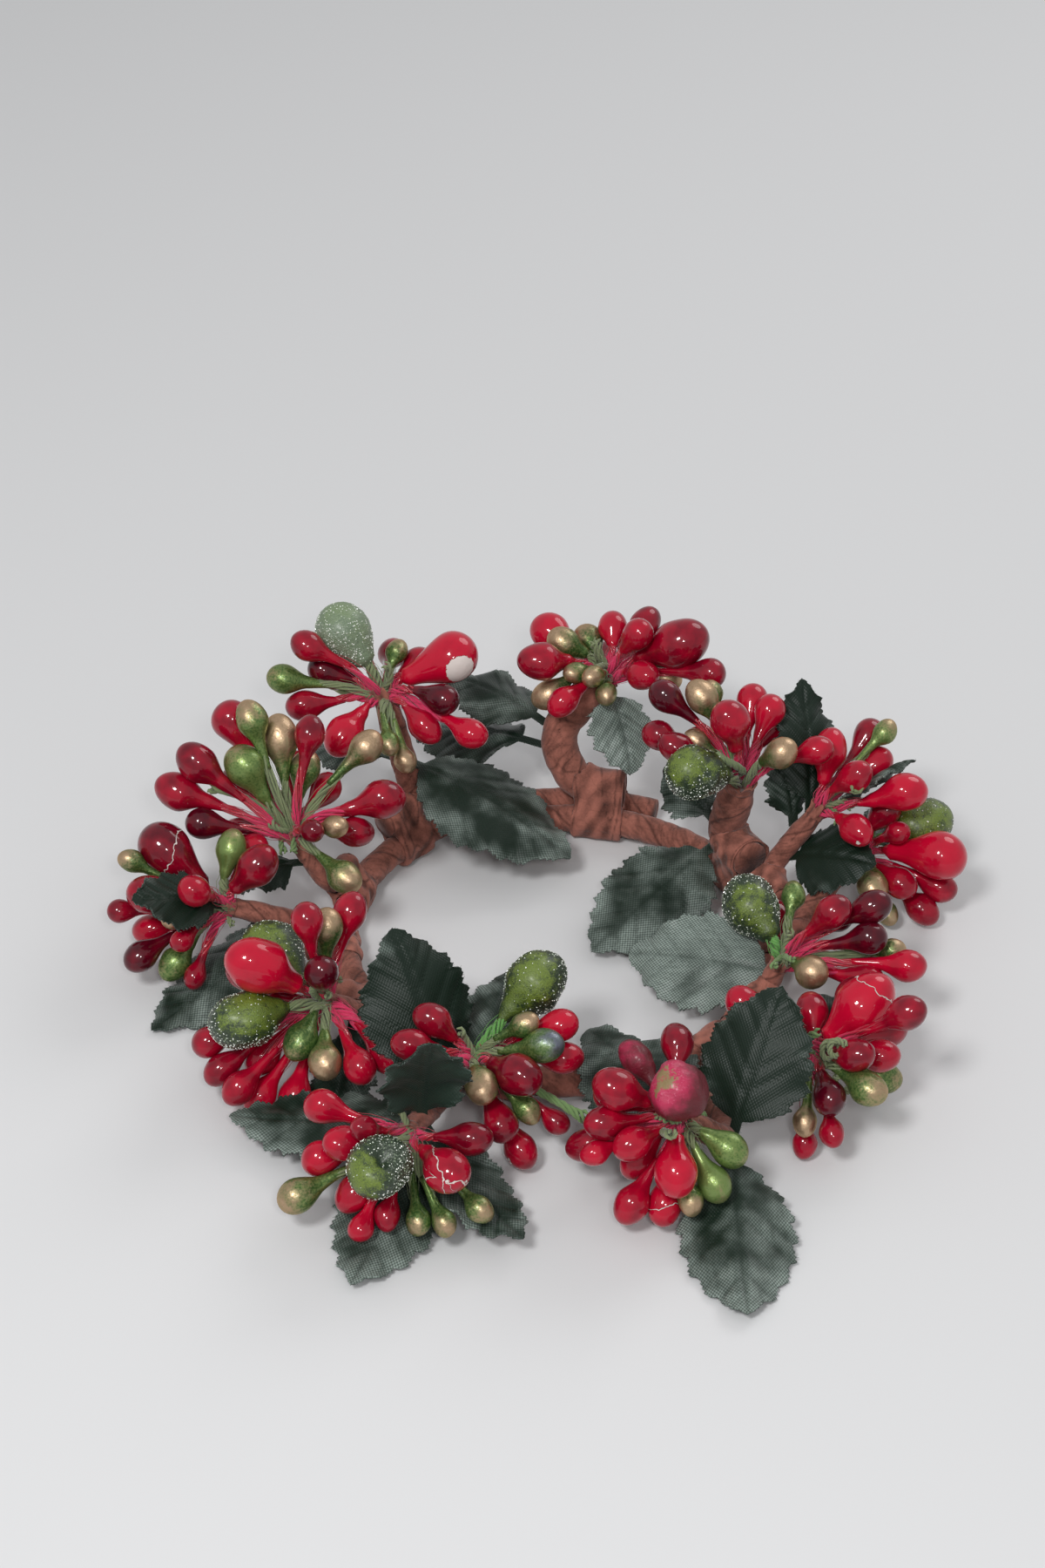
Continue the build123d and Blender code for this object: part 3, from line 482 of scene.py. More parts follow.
class Skin:
    """Points, faces and values by point, gathered until they become one piece."""

    def __init__(self):
        self.points, self.faces, self.values, self.count = [], [], {}, 0

    def add(self, points, faces, **values):
        """Takes in points, the faces between them, and values for each point or for all."""
        self.points.append(points)
        self.faces += [np.asarray(block) + self.count for block in faces]
        for name, value in values.items():
            value = np.broadcast_to(np.asarray(value, float).ravel(), (len(points),))
            self.values.setdefault(name, []).append(value)
        self.count += len(points)

    def piece(self, name, material):
        """Everything taken in, as one smooth object with its material."""
        mesh = bpy.data.meshes.new(name)
        points = np.concatenate(self.points)
        corners = np.concatenate([block.ravel() for block in self.faces])
        sizes = np.concatenate([np.full(len(block), block.shape[1]) for block in self.faces])
        mesh.vertices.add(len(points))
        mesh.vertices.foreach_set("co", points.astype(np.float32).ravel())
        mesh.loops.add(len(corners))
        mesh.loops.foreach_set("vertex_index", corners.astype(np.int32))
        mesh.polygons.add(len(sizes))
        mesh.polygons.foreach_set("loop_start", (np.cumsum(sizes) - sizes).astype(np.int32))
        for key, blocks in self.values.items():
            values = np.concatenate(blocks).astype(np.float32)
            mesh.attributes.new(key, "FLOAT", "POINT").data.foreach_set("value", values)
        mesh.update(calc_edges=True)
        mesh.validate()
        mesh.polygons.foreach_set("use_smooth", np.ones(len(mesh.polygons), bool))
        mesh.materials.append(material)
        piece = bpy.data.objects.new(name, mesh)
        bpy.context.scene.collection.objects.link(piece)
        return piece


def hand_over(piece, slot, *nodes):
    """Puts a piece on the ring's one body and hides the nodes it stands for. Its slot is not used."""
    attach(piece, "root")
    if nodes:
        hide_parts(*nodes)


def random_for(*words):
    """Random numbers of one piece's own, the same each run."""
    return np.random.default_rng([sum(ord(c) * (i + 1) for i, c in enumerate(str(word))) for word in words])


def ripples(rng, u, turn, count, low, high, most_turns):
    """Smooth unevenness over a tube: u is a run in turns of a wave, turn an angle."""
    total = np.zeros(np.broadcast(u, turn).shape)
    for _ in range(count):
        along = 2 * math.pi * u * rng.uniform(low, high)
        around = turn * rng.integers(-most_turns, most_turns + 1)
        total = total + np.sin(along + around + rng.uniform(0, 2 * math.pi))
    return total / math.sqrt(count)


# Shader maths


class Value:
    """A shader socket that Python's operators work on."""

    def __init__(self, finish, socket):
        self.finish, self.socket = finish, socket

    def maths(self, operation, other, other_first=False):
        first, second = (other, self) if other_first else (self, other)
        return self.finish.node("Math", {"operation": operation}, {0: first, 1: second})

    def __add__(self, other):
        return self.maths("ADD", other)

    def __sub__(self, other):
        return self.maths("SUBTRACT", other)

    def __mul__(self, other):
        return self.maths("MULTIPLY", other)

    def __rsub__(self, other):
        return self.maths("SUBTRACT", other, other_first=True)

    __radd__, __rmul__ = __add__, __mul__


class Finish:
    """A material whose nodes are made one call at a time."""

    def __init__(self, name):
        self.material = bpy.data.materials.new(name)
        self.material.use_nodes = True
        self.tree = self.material.node_tree
        self.tree.nodes.clear()

    def node(self, kind, settings=None, inputs=None, output=0):
        """A shader node with its settings, and with values or links in its sockets."""
        made = self.tree.nodes.new("ShaderNode" + kind)
        for key, value in (settings or {}).items():
            setattr(made, key, value)
        for key, value in (inputs or {}).items():
            if isinstance(value, Value):
                self.tree.links.new(value.socket, made.inputs[key])
            else:
                made.inputs[key].default_value = value
        return Value(self, made.outputs[output]) if len(made.outputs) else None

    def attribute(self, name):
        """A value that the piece's mesh holds for each point."""
        return self.node("Attribute", {"attribute_name": name}, output="Fac")

    def noise(self, grain, detail=2.0):
        """Noise from 0 to 1 whose spots are about a grain across, in metres."""
        place = self.node("TexCoord", output="Object")
        return self.node("TexNoise", None, {"Vector": place, "Scale": 1 / grain, "Detail": detail})

    def cracks(self, cell, warp):
        """Distance, in cells, to the edges of cells whose edges wander."""
        place = self.node("TexCoord", output="Object")
        stray = self.node("TexNoise", None, {"Vector": place, "Scale": 1 / cell, "Detail": 2.0}, output=1)
        stray = self.node("VectorMath", {"operation": "SCALE"}, {0: stray, "Scale": warp})
        place = self.node("VectorMath", {"operation": "ADD"}, {0: place, 1: stray})
        return self.node("TexVoronoi", {"feature": "DISTANCE_TO_EDGE"}, {"Vector": place, "Scale": 1 / cell},
                         output="Distance")

    def sine(self, value):
        """The sine of a value."""
        return self.node("Math", {"operation": "SINE"}, {0: value})

    def size_of(self, value):
        """A value without its sign."""
        return self.node("Math", {"operation": "ABSOLUTE"}, {0: value})

    def step(self, value, low, high):
        """Nought below low, one above high, and smooth between."""
        return self.node("MapRange", {"interpolation_type": "SMOOTHSTEP"},
                         {"Value": value, "From Min": low, "From Max": high})

    def mix(self, first, second, share):
        """The first colour, with a share of the second in it."""
        wide = [c if isinstance(c, Value) else (*c, 1.0) for c in (first, second)]
        return self.node("Mix", {"data_type": "RGBA", "clamp_factor": True},
                         {0: share, 6: wide[0], 7: wide[1]}, output=2)

    def bump(self, height, depth):
        """The surface's direction where a height of one stands a depth proud."""
        return self.node("Bump", None, {"Height": height, "Distance": depth, "Strength": 1.0})

    def surface(self, **sockets):
        """The finished material, from its surface's values by their names."""
        names = {key.replace("_", " ").title(): value for key, value in sockets.items()}
        names = {key.replace("Ior", "IOR"): value for key, value in names.items()}
        for key in ("Base Color", "Specular Tint"):
            if key in names and not isinstance(names[key], Value):
                names[key] = (*names[key], 1.0)
        shader = self.node("BsdfPrincipled", None, names)
        self.node("OutputMaterial", None, {"Surface": shader})
        return self.material


# The settings that a user would change


def length(name, description, default):
    """A length that a user can set, in metres."""
    return FloatProperty(name=name, description=description, default=default, min=0.0, unit="LENGTH",
                         precision=5)


def amount(name, description, default):
    """A plain number that a user can set."""
    return FloatProperty(name=name, description=description, default=default, min=0.0)


def colour(name, description, default):
    """A colour that a user can set."""
    return FloatVectorProperty(name=name, description=description, default=default, size=3, min=0.0,
                               max=1.0, subtype="COLOR")


class CandleRingTapeSettings(bpy.types.PropertyGroup):
    slope: FloatProperty(name="Slope", description="Angle of the tape's turns to a ring round the stem",
                         default=math.radians(48), subtype="ANGLE")
    step: length("Step", "Height of the tape's overlapping edge", 0.13 * MM)
    crease: length("Crease", "Depth of the creases pressed into the tape", 0.05 * MM)
    light: colour("Light paper", "Colour of the paper where it is smooth", (0.41, 0.150, 0.108))
    # The dark paper is the paper's own darker tone and also painted shade in its creases, folds and along its
    # turns' edges.
    dark: colour("Dark paper", "Colour of the paper in its creases", (0.055, 0.018, 0.012))


class CandleRingThreadSettings(bpy.types.PropertyGroup):
    strands: IntProperty(name="Strands", description="Strands in one pip's thread", default=7, min=3, max=16)
    strand: length("Strand", "Diameter of one strand", 0.44 * MM)
    stray: length("Stray hair", "Diameter of a stray fibre", 0.09 * MM)
    pink: colour("Pink", "Colour of the red pips' threads", (0.62, 0.028, 0.105))
    green: colour("Green", "Colour of the green pips' threads", (0.19, 0.235, 0.115))
    bright_green: colour("Bright green", "Colour of the dyed threads of the sugared pips",
                         (0.12, 0.33, 0.075))


class CandleRingBeadSettings(bpy.types.PropertyGroup):
    neck: length("Neck", "Radius of a bead's neck where it meets its thread", 0.60 * MM)
    bright: colour("Bright red", "Colour of the brightest lacquer", (0.50, 0.002, 0.025))
    dark: colour("Dark red", "Colour of the darkest lacquer", (0.050, 0.0006, 0.0060))
    bare: colour("Bare", "Colour of the bead where the lacquer has come off", (0.70, 0.62, 0.58))
    green: colour("Green", "Colour of the pearl coat", (0.052, 0.135, 0.030))
    # The gold is also a painted highlight on the side of each green bead that faces the light.
    gold: colour("Gold", "Colour of the gold brushed on the round ends", (0.66, 0.45, 0.30))
    # The worn green is painted light, on the side of a sugared bead that faces the light, where its grains
    # have also worn off.
    sugar_light: colour("Worn green", "Colour of a sugared bead where its grains have worn off",
                        (0.138, 0.198, 0.019))
    sugar_dark: colour("Sugared green", "Colour of a sugared bead under its grains", (0.010, 0.026, 0.008))
    pink: colour("Matt pink", "Colour of the matt pink coat", (0.43, 0.014, 0.068))
    grain: length("Grain", "Diameter of a glitter grain", 0.56 * MM)
    grains: amount("Grains", "Glitter grains to a square millimetre", 2.7)


class CandleRingLeafSettings(bpy.types.PropertyGroup):
    thickness: length("Thickness", "Thickness of the stiffened fabric", 0.34 * MM)
    tooth: length("Tooth", "Depth of the leaf's teeth", 1.05 * MM)
    pitch: length("Weave", "Distance from thread to thread of the weave", 0.25 * MM)
    fringe: length("Fringe", "Length of the loose threads at the cut edge", 0.45 * MM)
    deep: colour("Deep green", "Colour of the fabric between its veins", (0.006, 0.0155, 0.009))
    # The pale green is a painted satin sheen where the weave's threads show; the loose threads of the cut
    # edge are mixed from it too.
    worn: colour("Pale green", "Colour where the fabric's thread shows", (0.300, 0.360, 0.325))


class CandleRingStageSettings(bpy.types.PropertyGroup):
    floor: colour("Floor", "Colour of the plain floor", (0.66, 0.66, 0.665))
    soft_light: amount("Soft light", "Strength of the light from all round", 0.52)
    key_light: FloatProperty(name="Key light", description="Power of the main lamp", default=2.6,
                             unit="POWER")


SETTINGS = {
    "candle_ring_tape": CandleRingTapeSettings,
    "candle_ring_threads": CandleRingThreadSettings,
    "candle_ring_beads": CandleRingBeadSettings,
    "candle_ring_leaves": CandleRingLeafSettings,
    "candle_ring_stage": CandleRingStageSettings,
}


# What the operators share: the frame's sprays and pips, read once

MODEL = {}


def mark_pips(reds, greens, sugared):
    """Gives the pips that the photograph shows their tones, patches, chips and splits."""
    kinds = {"red": reds, "green": greens}
    for spots, kind, name, value in BEAD_LOOKS:
        for x, y in spots:
            setattr(aimed_at(kinds[kind], x, y)[0], name, value)
    middles = np.array([(p.foot + p.neck) / 2 for p in reds])
    for x, y in LOOSE_THREADS:
        nearest_to_pixel(reds, middles, x, y).loose = True
    for mark, spot, size in (("dent", PRESSED_BEAD, 2.0 * MM), ("frost", FROSTED_BEAD, 0)):
        pip, spot = aimed_at(sugared, *spot)
        pip.marks.append((mark, spot, size))
    for x, y, size in CHIPS:
        pip, spot = aimed_at(reds, x, y)
        pip.marks.append(("chip", spot, size * MM))
    for x, y, to_x, to_y in SEAMS:
        pip, _ = aimed_at(reds, (x + to_x) / 2, (y + to_y) / 2)
        pip.marks.append(("seam", unit(np.cross(photo_ray(x, y), photo_ray(to_x, to_y))), 0))


def read_model():
    """The sprays and the pips, read from the frame the first time, with how each bead looks."""
    if "sprays" in MODEL:
        return MODEL
    knots = [fit_ball(points) for points, _ in loose_parts("thread_knots")]
    wires = loose_parts("stem_wires")
    sprays = [Spray(name, wires, knots) for name in SPRAYS]
    pips = []
    for node in sorted(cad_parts):
        if node.endswith("_pips"):
            pips += read_pips(node, sprays)
    swell_to_fit(pips)
    rng = random_for("tones")
    for pip in pips:
        pip.tone = rng.uniform(0.36, 0.84)
        pip.gild = rng.uniform(0.35, 0.75)
    mark_pips(*([p for p in pips if p.kind == kind] for kind in ("red", "green", "sugared")))
    MODEL.update(sprays=sprays, pips=pips)
    return MODEL


# Paper tape


def overlap(phase, pitch, width):
    """How far the tape stands proud after each edge of its turns, dying away over a width."""
    return np.exp(-(phase % 1) * abs(pitch) / width)


def edge_line(phase, pitch, width):
    """A line of a width along each edge of the tape's turns."""
    return np.exp(-(((phase + 0.5) % 1 - 0.5) * pitch / width) ** 2)


def paper_finish(tape):
    """Crepe paper: darker with painted shade along its turns' edges and in its creases and folds, and folded.
    """
    paint = Finish("crepe_paper")
    # The edge value is a painted shadow line along each turn's edge.
    edge, crease = paint.attribute("edge"), paint.attribute("crease")
    fibre, cloudy, crinkle = paint.noise(0.35 * MM, 3), paint.noise(4.5 * MM, 2), paint.noise(1.1 * MM, 3)
    folds = 1 - paint.step(paint.cracks(3.6 * MM, 3.2 * MM), 0.0, 0.06)
    lines = 1 - paint.step(crease, -1.15, -0.55)
    # Darker in the hollows of the creases and crinkles as painted shade, and in a random cloudy tone.
    depth = paint.step(crease + (cloudy - 0.5) * 1.6 + (crinkle - 0.5) * 0.7, -1.0, 1.0)
    base = paint.mix(tape.dark, tape.light, depth * 0.6 + fibre * 0.45 + 0.05)
    # Painted shade along the turns' edges, in the fold lines and in the deepest creases.
    base = paint.mix(base, tape.dark, edge * 0.7 + folds * 0.16 + lines * 0.35)
    height = fibre * 0.35 + crinkle * 0.9 - folds * 0.22 - lines * 0.4
    return paint.surface(base_color=base, roughness=0.82, specular_ior_level=0.25, sheen_weight=0.15,
                         sheen_roughness=0.5, normal=paint.bump(height, 0.13 * MM))


def wound_paper(skin, line, radius, tape, rng, neck=0.0, gather=0.0):
    """Crepe tape wound round a line. At its far end it can draw in and crumple."""
    line, run = even(line, TAPE_ROW)
    run = run[:, None]
    sides = max(28, int(2 * math.pi * radius / TAPE_COLUMN))
    angle = round_angles(len(line), sides)
    pitch = 2 * math.pi * radius * math.tan(tape.slope)

    def waves(size, count, low, high, turns):
        return ripples(rng, run / size, angle, count, low, high, turns)

    wander = waves(14 * MM, 3, 0.5, 1.5, 1) * 0.035
    phase = run / pitch - angle / (2 * math.pi) + wander + rng.uniform()
    under = phase + 0.42 + wander * 2
    edge = overlap(phase, pitch, 1.5 * MM) + 0.5 * overlap(under, pitch, 1.1 * MM)
    shadow = edge_line(phase, pitch, 0.35 * MM) + 0.6 * edge_line(under, pitch, 0.3 * MM)
    slant = phase * 2 * math.pi
    crease = sum(np.sin(k * slant + waves(6 * MM, 4, 0.4, 1.8, 3) * 2.2 + rng.uniform(0, 6)) / k**0.5
                 for k in (2, 5, 9, 14)) / 2.6
    deep = np.sin(slant + wander * 60 + waves(5 * MM, 4, 0.4, 1.6, 2))
    crease = crease - 0.8 * np.exp(-(deep / 0.10) ** 2)
    lumps = waves(5 * MM, 5, 0.4, 2.0, 3) * 0.05 * MM
    radii = radius * 0.985 + tape.step * (edge - 0.4) + tape.crease * crease * 0.6 + lumps
    if gather:
        near = ease((run - (run[-1] - gather)) / gather)
        pleats = waves(8 * MM, 6, 0.2, 1.0, 9)
        radii = radii * (1 - (1 - neck) * near) + pleats * 0.16 * MM * near
        crease = crease * (1 - near) + pleats * near
    points = tube(line, radii, angle)
    if gather:
        lift = ripples(rng, 0 * angle[-1], angle[-1], 5, 0, 1, 7) * 0.35 * MM
        points[-1] += lift[:, None] * unit(line[-1] - line[-4])
    start = line[0] + unit(line[0] - line[1]) * 0.1 * MM
    end = line[-1] - unit(line[-1] - line[-2]) * (0.8 * MM if gather else -0.15 * MM)
    # The edge value carries painted shadow lines along the turns' edges, and the crease value painted shade
    # in the creases.
    skin.add(with_poles(points, start, end), loop_faces(len(line), sides),
             edge=pole_values(shadow, 1, 1), crease=pole_values(crease, -1, -1))


def paper_collar(skin, spray, rng):
    """The tape's torn end, which stands up round the threads at a stem's mouth."""
    sides, rows, thick = 44, 7, 0.07 * MM
    angle = np.arange(sides) * 2 * math.pi / sides
    along, across, up = (v[-1] for v in carried(spray.line))
    out = across * np.cos(angle)[:, None] + up * np.sin(angle)[:, None]
    pleat = ripples(rng, 0 * angle, angle, 6, 0, 1, 9)
    torn = 1 + 0.30 * ripples(rng, 0 * angle, angle, 5, 0, 1, 7) + 0.10 * rng.normal(size=sides)
    reach = rng.uniform(1.6, 2.6) * MM * np.clip(torn, 0.35, 1.6)
    foot = spray.line[-1] - along * 1.3 * MM
    walls = []
    for wall, order in ((thick, range(rows)), (-thick, range(rows - 1, -1, -1))):
        for row in order:
            t = row / (rows - 1)
            flare = 0.80 - 0.10 * math.sin(math.pi * t) + 0.12 * t
            radius = spray.radius * flare + pleat * (0.05 + 0.22 * t) * MM
            walls.append(foot + along * (reach * t)[:, None] + out * (radius + wall)[:, None])
    sunk = foot - along * 0.5 * MM
    creases = np.broadcast_to(pleat * 0.6, (2 * rows, sides))
    # Painted shade: a little over the whole collar through its edge value, and more in its pleats.
    skin.add(with_poles(np.array(walls), sunk, sunk + along * 0.2 * MM), loop_faces(2 * rows, sides),
             edge=0.15, crease=pole_values(creases, 0, 0))


def ring_line():
    """The middle of the ring's wire from one end to the other."""
    points, faces = welded("ring_core_wire")
    front = points[(points[:, 1] < 0) & (np.abs(points[:, 0]) < 2 * MM)]
    reach = (points[:, 2].max() - points[:, 2].min()) / 2
    start = np.array([0, (front[:, 1].max() + front[:, 1].min()) / 2, points[:, 2].mean()])
    one, other = (follow(points, faces, start, np.array([way, 0, 0]), 1.5 * reach) for way in (1.0, -1.0))
    return np.vstack([other[:0:-1], one])


def ring_radius():
    """Half the thickness of the ring with its paper on."""
    points, _ = welded("ring_paper_wrap")
    return (points[:, 2].max() - points[:, 2].min()) / 2


def make_ring_tape(scene):
    """The tape round the ring's wire."""
    skin = Skin()
    wound_paper(skin, ring_line(), ring_radius(), scene.candle_ring_tape, random_for("ring"))
    hand_over(skin.piece("ring_tape", MODEL["paper"]), "paper_tape", "ring_paper_wrap")


def make_stem_tapes(scene):
    """The tape round each stem, gathered and torn at its mouth."""
    tape = scene.candle_ring_tape
    for spray in read_model()["sprays"]:
        skin = Skin()
        wound_paper(skin, spray.line, spray.radius, tape, random_for(spray.name), neck=0.74, gather=4.5 * MM)
        paper_collar(skin, spray, random_for(spray.name, "collar"))
        piece = skin.piece(spray.name + "_stem_tape", MODEL["paper"])
        hand_over(piece, "paper_tape", spray.name + "_stem")


def remeshed(name, points, faces, voxel):
    """A closed mesh again with even faces: its points, their directions, and its faces by size."""
    mesh = bpy.data.meshes.new(name)
    mesh.from_pydata(points.tolist(), [], faces.tolist())
    thing = bpy.data.objects.new(name, mesh)
    bpy.context.scene.collection.objects.link(thing)
    change = thing.modifiers.new("even faces", "REMESH")
    change.mode, change.voxel_size = "VOXEL", voxel
    thing.modifiers.new("soft corners", "SMOOTH").iterations = 6
    evaluated = thing.evaluated_get(bpy.context.evaluated_depsgraph_get())
    done = evaluated.to_mesh()
    co, normal = np.empty((2, len(done.vertices) * 3))
    done.vertices.foreach_get("co", co)
    done.vertices.foreach_get("normal", normal)
    loops = [tuple(p.vertices) for p in done.polygons]
    evaluated.to_mesh_clear()
    bpy.data.objects.remove(thing)
    bpy.data.meshes.remove(mesh)
    blocks = [np.array([loop for loop in loops if len(loop) == size]) for size in (3, 4)]
    return co.reshape(-1, 3), normal.reshape(-1, 3), [b for b in blocks if len(b)]


def hugged(points, tubes, wall):
    """A binding's points drawn in towards the tubes that it holds, but not where it stands."""
    most = 1.7 * MM
    pull, total = 0, 0
    for line, radius in tubes:
        close = line[np.linalg.norm(points[:, None] - line[None], axis=2).argmin(axis=1)]
        away = points - close
        gap = np.linalg.norm(away, axis=1) - radius
        weight = np.exp(-gap / (0.6 * MM))
        deep = most * np.tanh(np.maximum(gap - wall, 0) / most)
        pull, total = pull + (weight * deep)[:, None] * unit(away), total + weight
    raised = ease((points[:, 2] - 0.5 * MM) / (1.8 * MM))
    return points - pull / total[:, None] * raised[:, None]


def wind_binding(skin, form, line, tubes, tape, rng):
    """One lump of tape: its form drawn in to the tubes that it holds, with its turns on it."""
    co, normal, blocks = form
    way = unit(np.gradient(line, axis=0))[np.linalg.norm(co[:, None] - line[None], axis=2).argmin(axis=1)]
    middle, up = co.mean(axis=0), np.array([0, 0, 1.0])
    off = co - middle
    angle = np.arctan2(off @ up, (off * np.cross(up, way)).sum(axis=1))
    run = (off * way).sum(axis=1)

    def waves(size, count, low, high, turns):
        return ripples(rng, run / size, angle, count, low, high, turns)

    wall = (0.42 - 0.34 * ease((np.abs(run) / np.abs(run).max() - 0.55) / 0.45)) * MM
    held = [(part[np.linalg.norm(part - middle, axis=1) < BINDING_REACH], radius) for part, radius in tubes]
    co = hugged(co, [(part, radius) for part, radius in held if len(part)], wall)
    wander = waves(6 * MM, 4, 0.4, 1.6, 2) * 0.16
    edge, shadow = 0, 0
    for pitch in (9 * MM, -15 * MM):
        phase = run / pitch + angle / (2 * math.pi) + wander + rng.uniform()
        edge = np.maximum(edge, overlap(phase, pitch, 0.9 * MM))
        shadow = np.maximum(shadow, edge_line(phase, pitch, 0.3 * MM))
    crease = waves(6 * MM, 10, 0.3, 2.2, 9)
    outward = ease((0.85 - np.abs((normal * way).sum(axis=1))) / 0.5)
    off_table = ease((co[:, 2] - 0.3 * MM) / (0.8 * MM))
    lumps = waves(7 * MM, 5, 0.4, 1.5, 3) * 0.14 * MM * off_table
    lift = (tape.step * 0.6 * (edge - 0.5) + tape.crease * crease * 2.2) * off_table * outward
    co = co + normal * (lift + lumps)[:, None]
    co[:, 2] = np.maximum(co[:, 2], 0.0)
    # Painted shadow lines along the turns' edges through the edge value, and painted shade in the creases.
    skin.add(co, blocks, edge=shadow * outward, crease=crease)


def make_bindings(scene):
    """The lumps of tape that hold the stems, wound round the ring in close turns."""
    line, _ = even(ring_line(), 0.5 * MM)
    tubes = [(line, ring_radius())] + [(spray.line, spray.radius) for spray in read_model()["sprays"]]
    for node, name in (("spray_bindings", "binding_tape"), ("ring_joint_binding", "joint_tape")):
        skin = Skin()
        for number, (points, faces) in enumerate(loose_parts(node)):
            form = remeshed(name, points, faces, BINDING_VOXEL)
            wind_binding(skin, form, line, tubes, scene.candle_ring_tape, random_for(node, number))
        hand_over(skin.piece(name, MODEL["paper"]), "paper_tape", node)


# Threads


def thread_finish(threads):
    """Dyed cotton: dark with painted shade in the knot, hairy, and shiny where lacquer has soaked in."""
    paint = Finish("cotton_thread")
    green, bright, soaked, shade = (paint.attribute(n) for n in ("green", "bright", "soaked", "shade"))
    fibre = paint.noise(0.16 * MM, 3)
    dyed = paint.mix(threads.green, threads.bright_green, bright)
    fresh = paint.mix(threads.pink, dyed, green)
    lacquer = paint.mix((0.40, 0.004, 0.016), (0.07, 0.13, 0.035), green)
    base = paint.mix(fresh, lacquer, soaked * 0.92)
    # Painted shade, deepest in the knot, with a random part for each strand.
    base = paint.mix(base, (0.02, 0.006, 0.006), (1 - shade) * 0.55)
    base = paint.mix(base, (0.85, 0.55, 0.56), (fibre - 0.55) * 0.7 * (1 - soaked))
    return paint.surface(base_color=base, roughness=0.85 - soaked * 0.55, specular_ior_level=0.4,
                         sheen_weight=0.3, sheen_roughness=0.4, coat_weight=soaked * 0.8,
                         coat_roughness=0.12, normal=paint.bump(fibre, 0.05 * MM))


def curve_through(a, b, c, d, count):
    """A smooth line from a to d that b and c pull towards them."""
    t = np.linspace(0, 1, count)[:, None]
    return (1 - t) ** 3 * a + 3 * (1 - t) ** 2 * t * b + 3 * (1 - t) * t**2 * c + t**3 * d


def coiled(line, across, up, angle, reach):
    """A line that goes round another one, at an angle and a reach for each point."""
    return line + across * (np.cos(angle) * reach)[:, None] + up * (np.sin(angle) * reach)[:, None]


def add_strand(skin, line, radii, sides, green, bright, soaked, shade):
    """One strand round a line, with a radius, a soaking and a shade for each of its points."""
    shape = (len(line), sides)
    radii, soaked, shade = (np.broadcast_to(values[:, None], shape) for values in (radii, soaked, shade))
    points = tube(line, radii, round_angles(*shape))
    skin.add(with_poles(points, line[0], line[-1]), loop_faces(*shape), green=green, bright=bright,
             soaked=pole_values(soaked), shade=pole_values(shade))


def thread_middle(pip, rng):
    """The middle of a pip's thread: out of the stem's mouth, through the knot, to the bead."""
    spray, rel = pip.spray, pip.foot - pip.spray.head
    mouth = spray.line[-1] - spray.axis * 1.2 * MM
    spread = spray.radius * 0.5 * math.sqrt(rng.uniform())
    about = rng.uniform(0, 2 * math.pi)
    side = unit(np.cross(spray.axis, [0.3, 0.5, 0.81]))
    toward = unit(rel - spray.axis * (rel @ spray.axis) + 1e-9)
    offset = (side * math.cos(about) + np.cross(spray.axis, side) * math.sin(about)) * spread * 0.6
    start = mouth + offset + toward * spray.radius * 0.3
    knee = spray.head + rel * 0.75 + spray.axis * 0.3 * MM
    free = np.linalg.norm(pip.neck - pip.foot)
    bow = unit(np.cross(pip.axis, rng.normal(size=3))) * min(0.5 * MM, 0.08 * free)
    close = pip.neck - pip.axis * min(0.5 * free, 2.5 * MM) + bow
    return curve_through(start, knee, close, pip.neck + pip.axis * 0.4 * MM, THREAD_ROWS)


def lay_thread(skin, pip, threads, rng):
    """One pip's thread: twisted strands from the mouth of the stem to the bead's neck."""
    middle = thread_middle(pip, rng)
    _, across, up = carried(middle)
    t = np.linspace(0, 1, THREAD_ROWS)
    fat = 1.25 if pip.kind == "sugared" else 1.45 if pip.loose else 1.0
    ring = (0.46 * (1 - 0.3 * t**2) + 0.14 * np.sin(math.pi * t)) * MM * fat
    twist = rng.uniform(1.2, 3.0) * rng.choice([-1, 1])
    green = 0.0 if pip.kind in ("red", "pink") else 1.0
    bright = 1.0 if pip.kind == "sugared" and pip.spray.number in BRIGHT_THREAD_SPRAYS else 0.0
    soak_from = 0.7 if green or pip.loose else 0.35
    for number in range(threads.strands + STRAYS):
        stray = number >= threads.strands
        angle = 2 * math.pi * number / threads.strands + twist * t * math.pi + rng.normal() * 0.2
        reach = ring * (rng.uniform(0.75, 1.15) if number else 0.2)
        thick = np.full(THREAD_ROWS, threads.strand / 2 * rng.uniform(0.8, 1.1) * fat)
        if stray:
            angle = rng.uniform(0, 2 * math.pi) + t * rng.uniform(-3, 3)
            reach = ring * (1 + 1.1 * np.sin(math.pi * t * rng.uniform(0.7, 1.3)))
            thick = np.full(THREAD_ROWS, threads.stray / 2)
        thick[-1] *= 0.7
        line = coiled(middle, across, up, angle, reach) + rng.normal(size=(THREAD_ROWS, 3)) * (0.03 * MM)
        soaked = ease((t - soak_from - rng.uniform(-0.1, 0.15)) / 0.3)
        # Painted shade, darker towards the knot, with a random darkness for each strand.
        shade = ease(t / 0.35) * 0.7 + 0.3 * rng.uniform(0.5, 1)
        add_strand(skin, line, thick, 3 if stray else 6, green, bright, soaked, shade)


def make_threads(scene):
    """The threads of each spray's pips, which stand for its knot too."""
    threads, model = scene.candle_ring_threads, read_model()
    MODEL["thread"] = thread_finish(threads)
    for spray in model["sprays"]:
        skin = Skin()
        for number, pip in enumerate(p for p in model["pips"] if p.spray is spray):
            lay_thread(skin, pip, threads, random_for(spray.name, "thread", number))
        piece = skin.piece(spray.name + "_threads", MODEL["thread"])
        hand_over(piece, "pip_thread", "thread_knots")


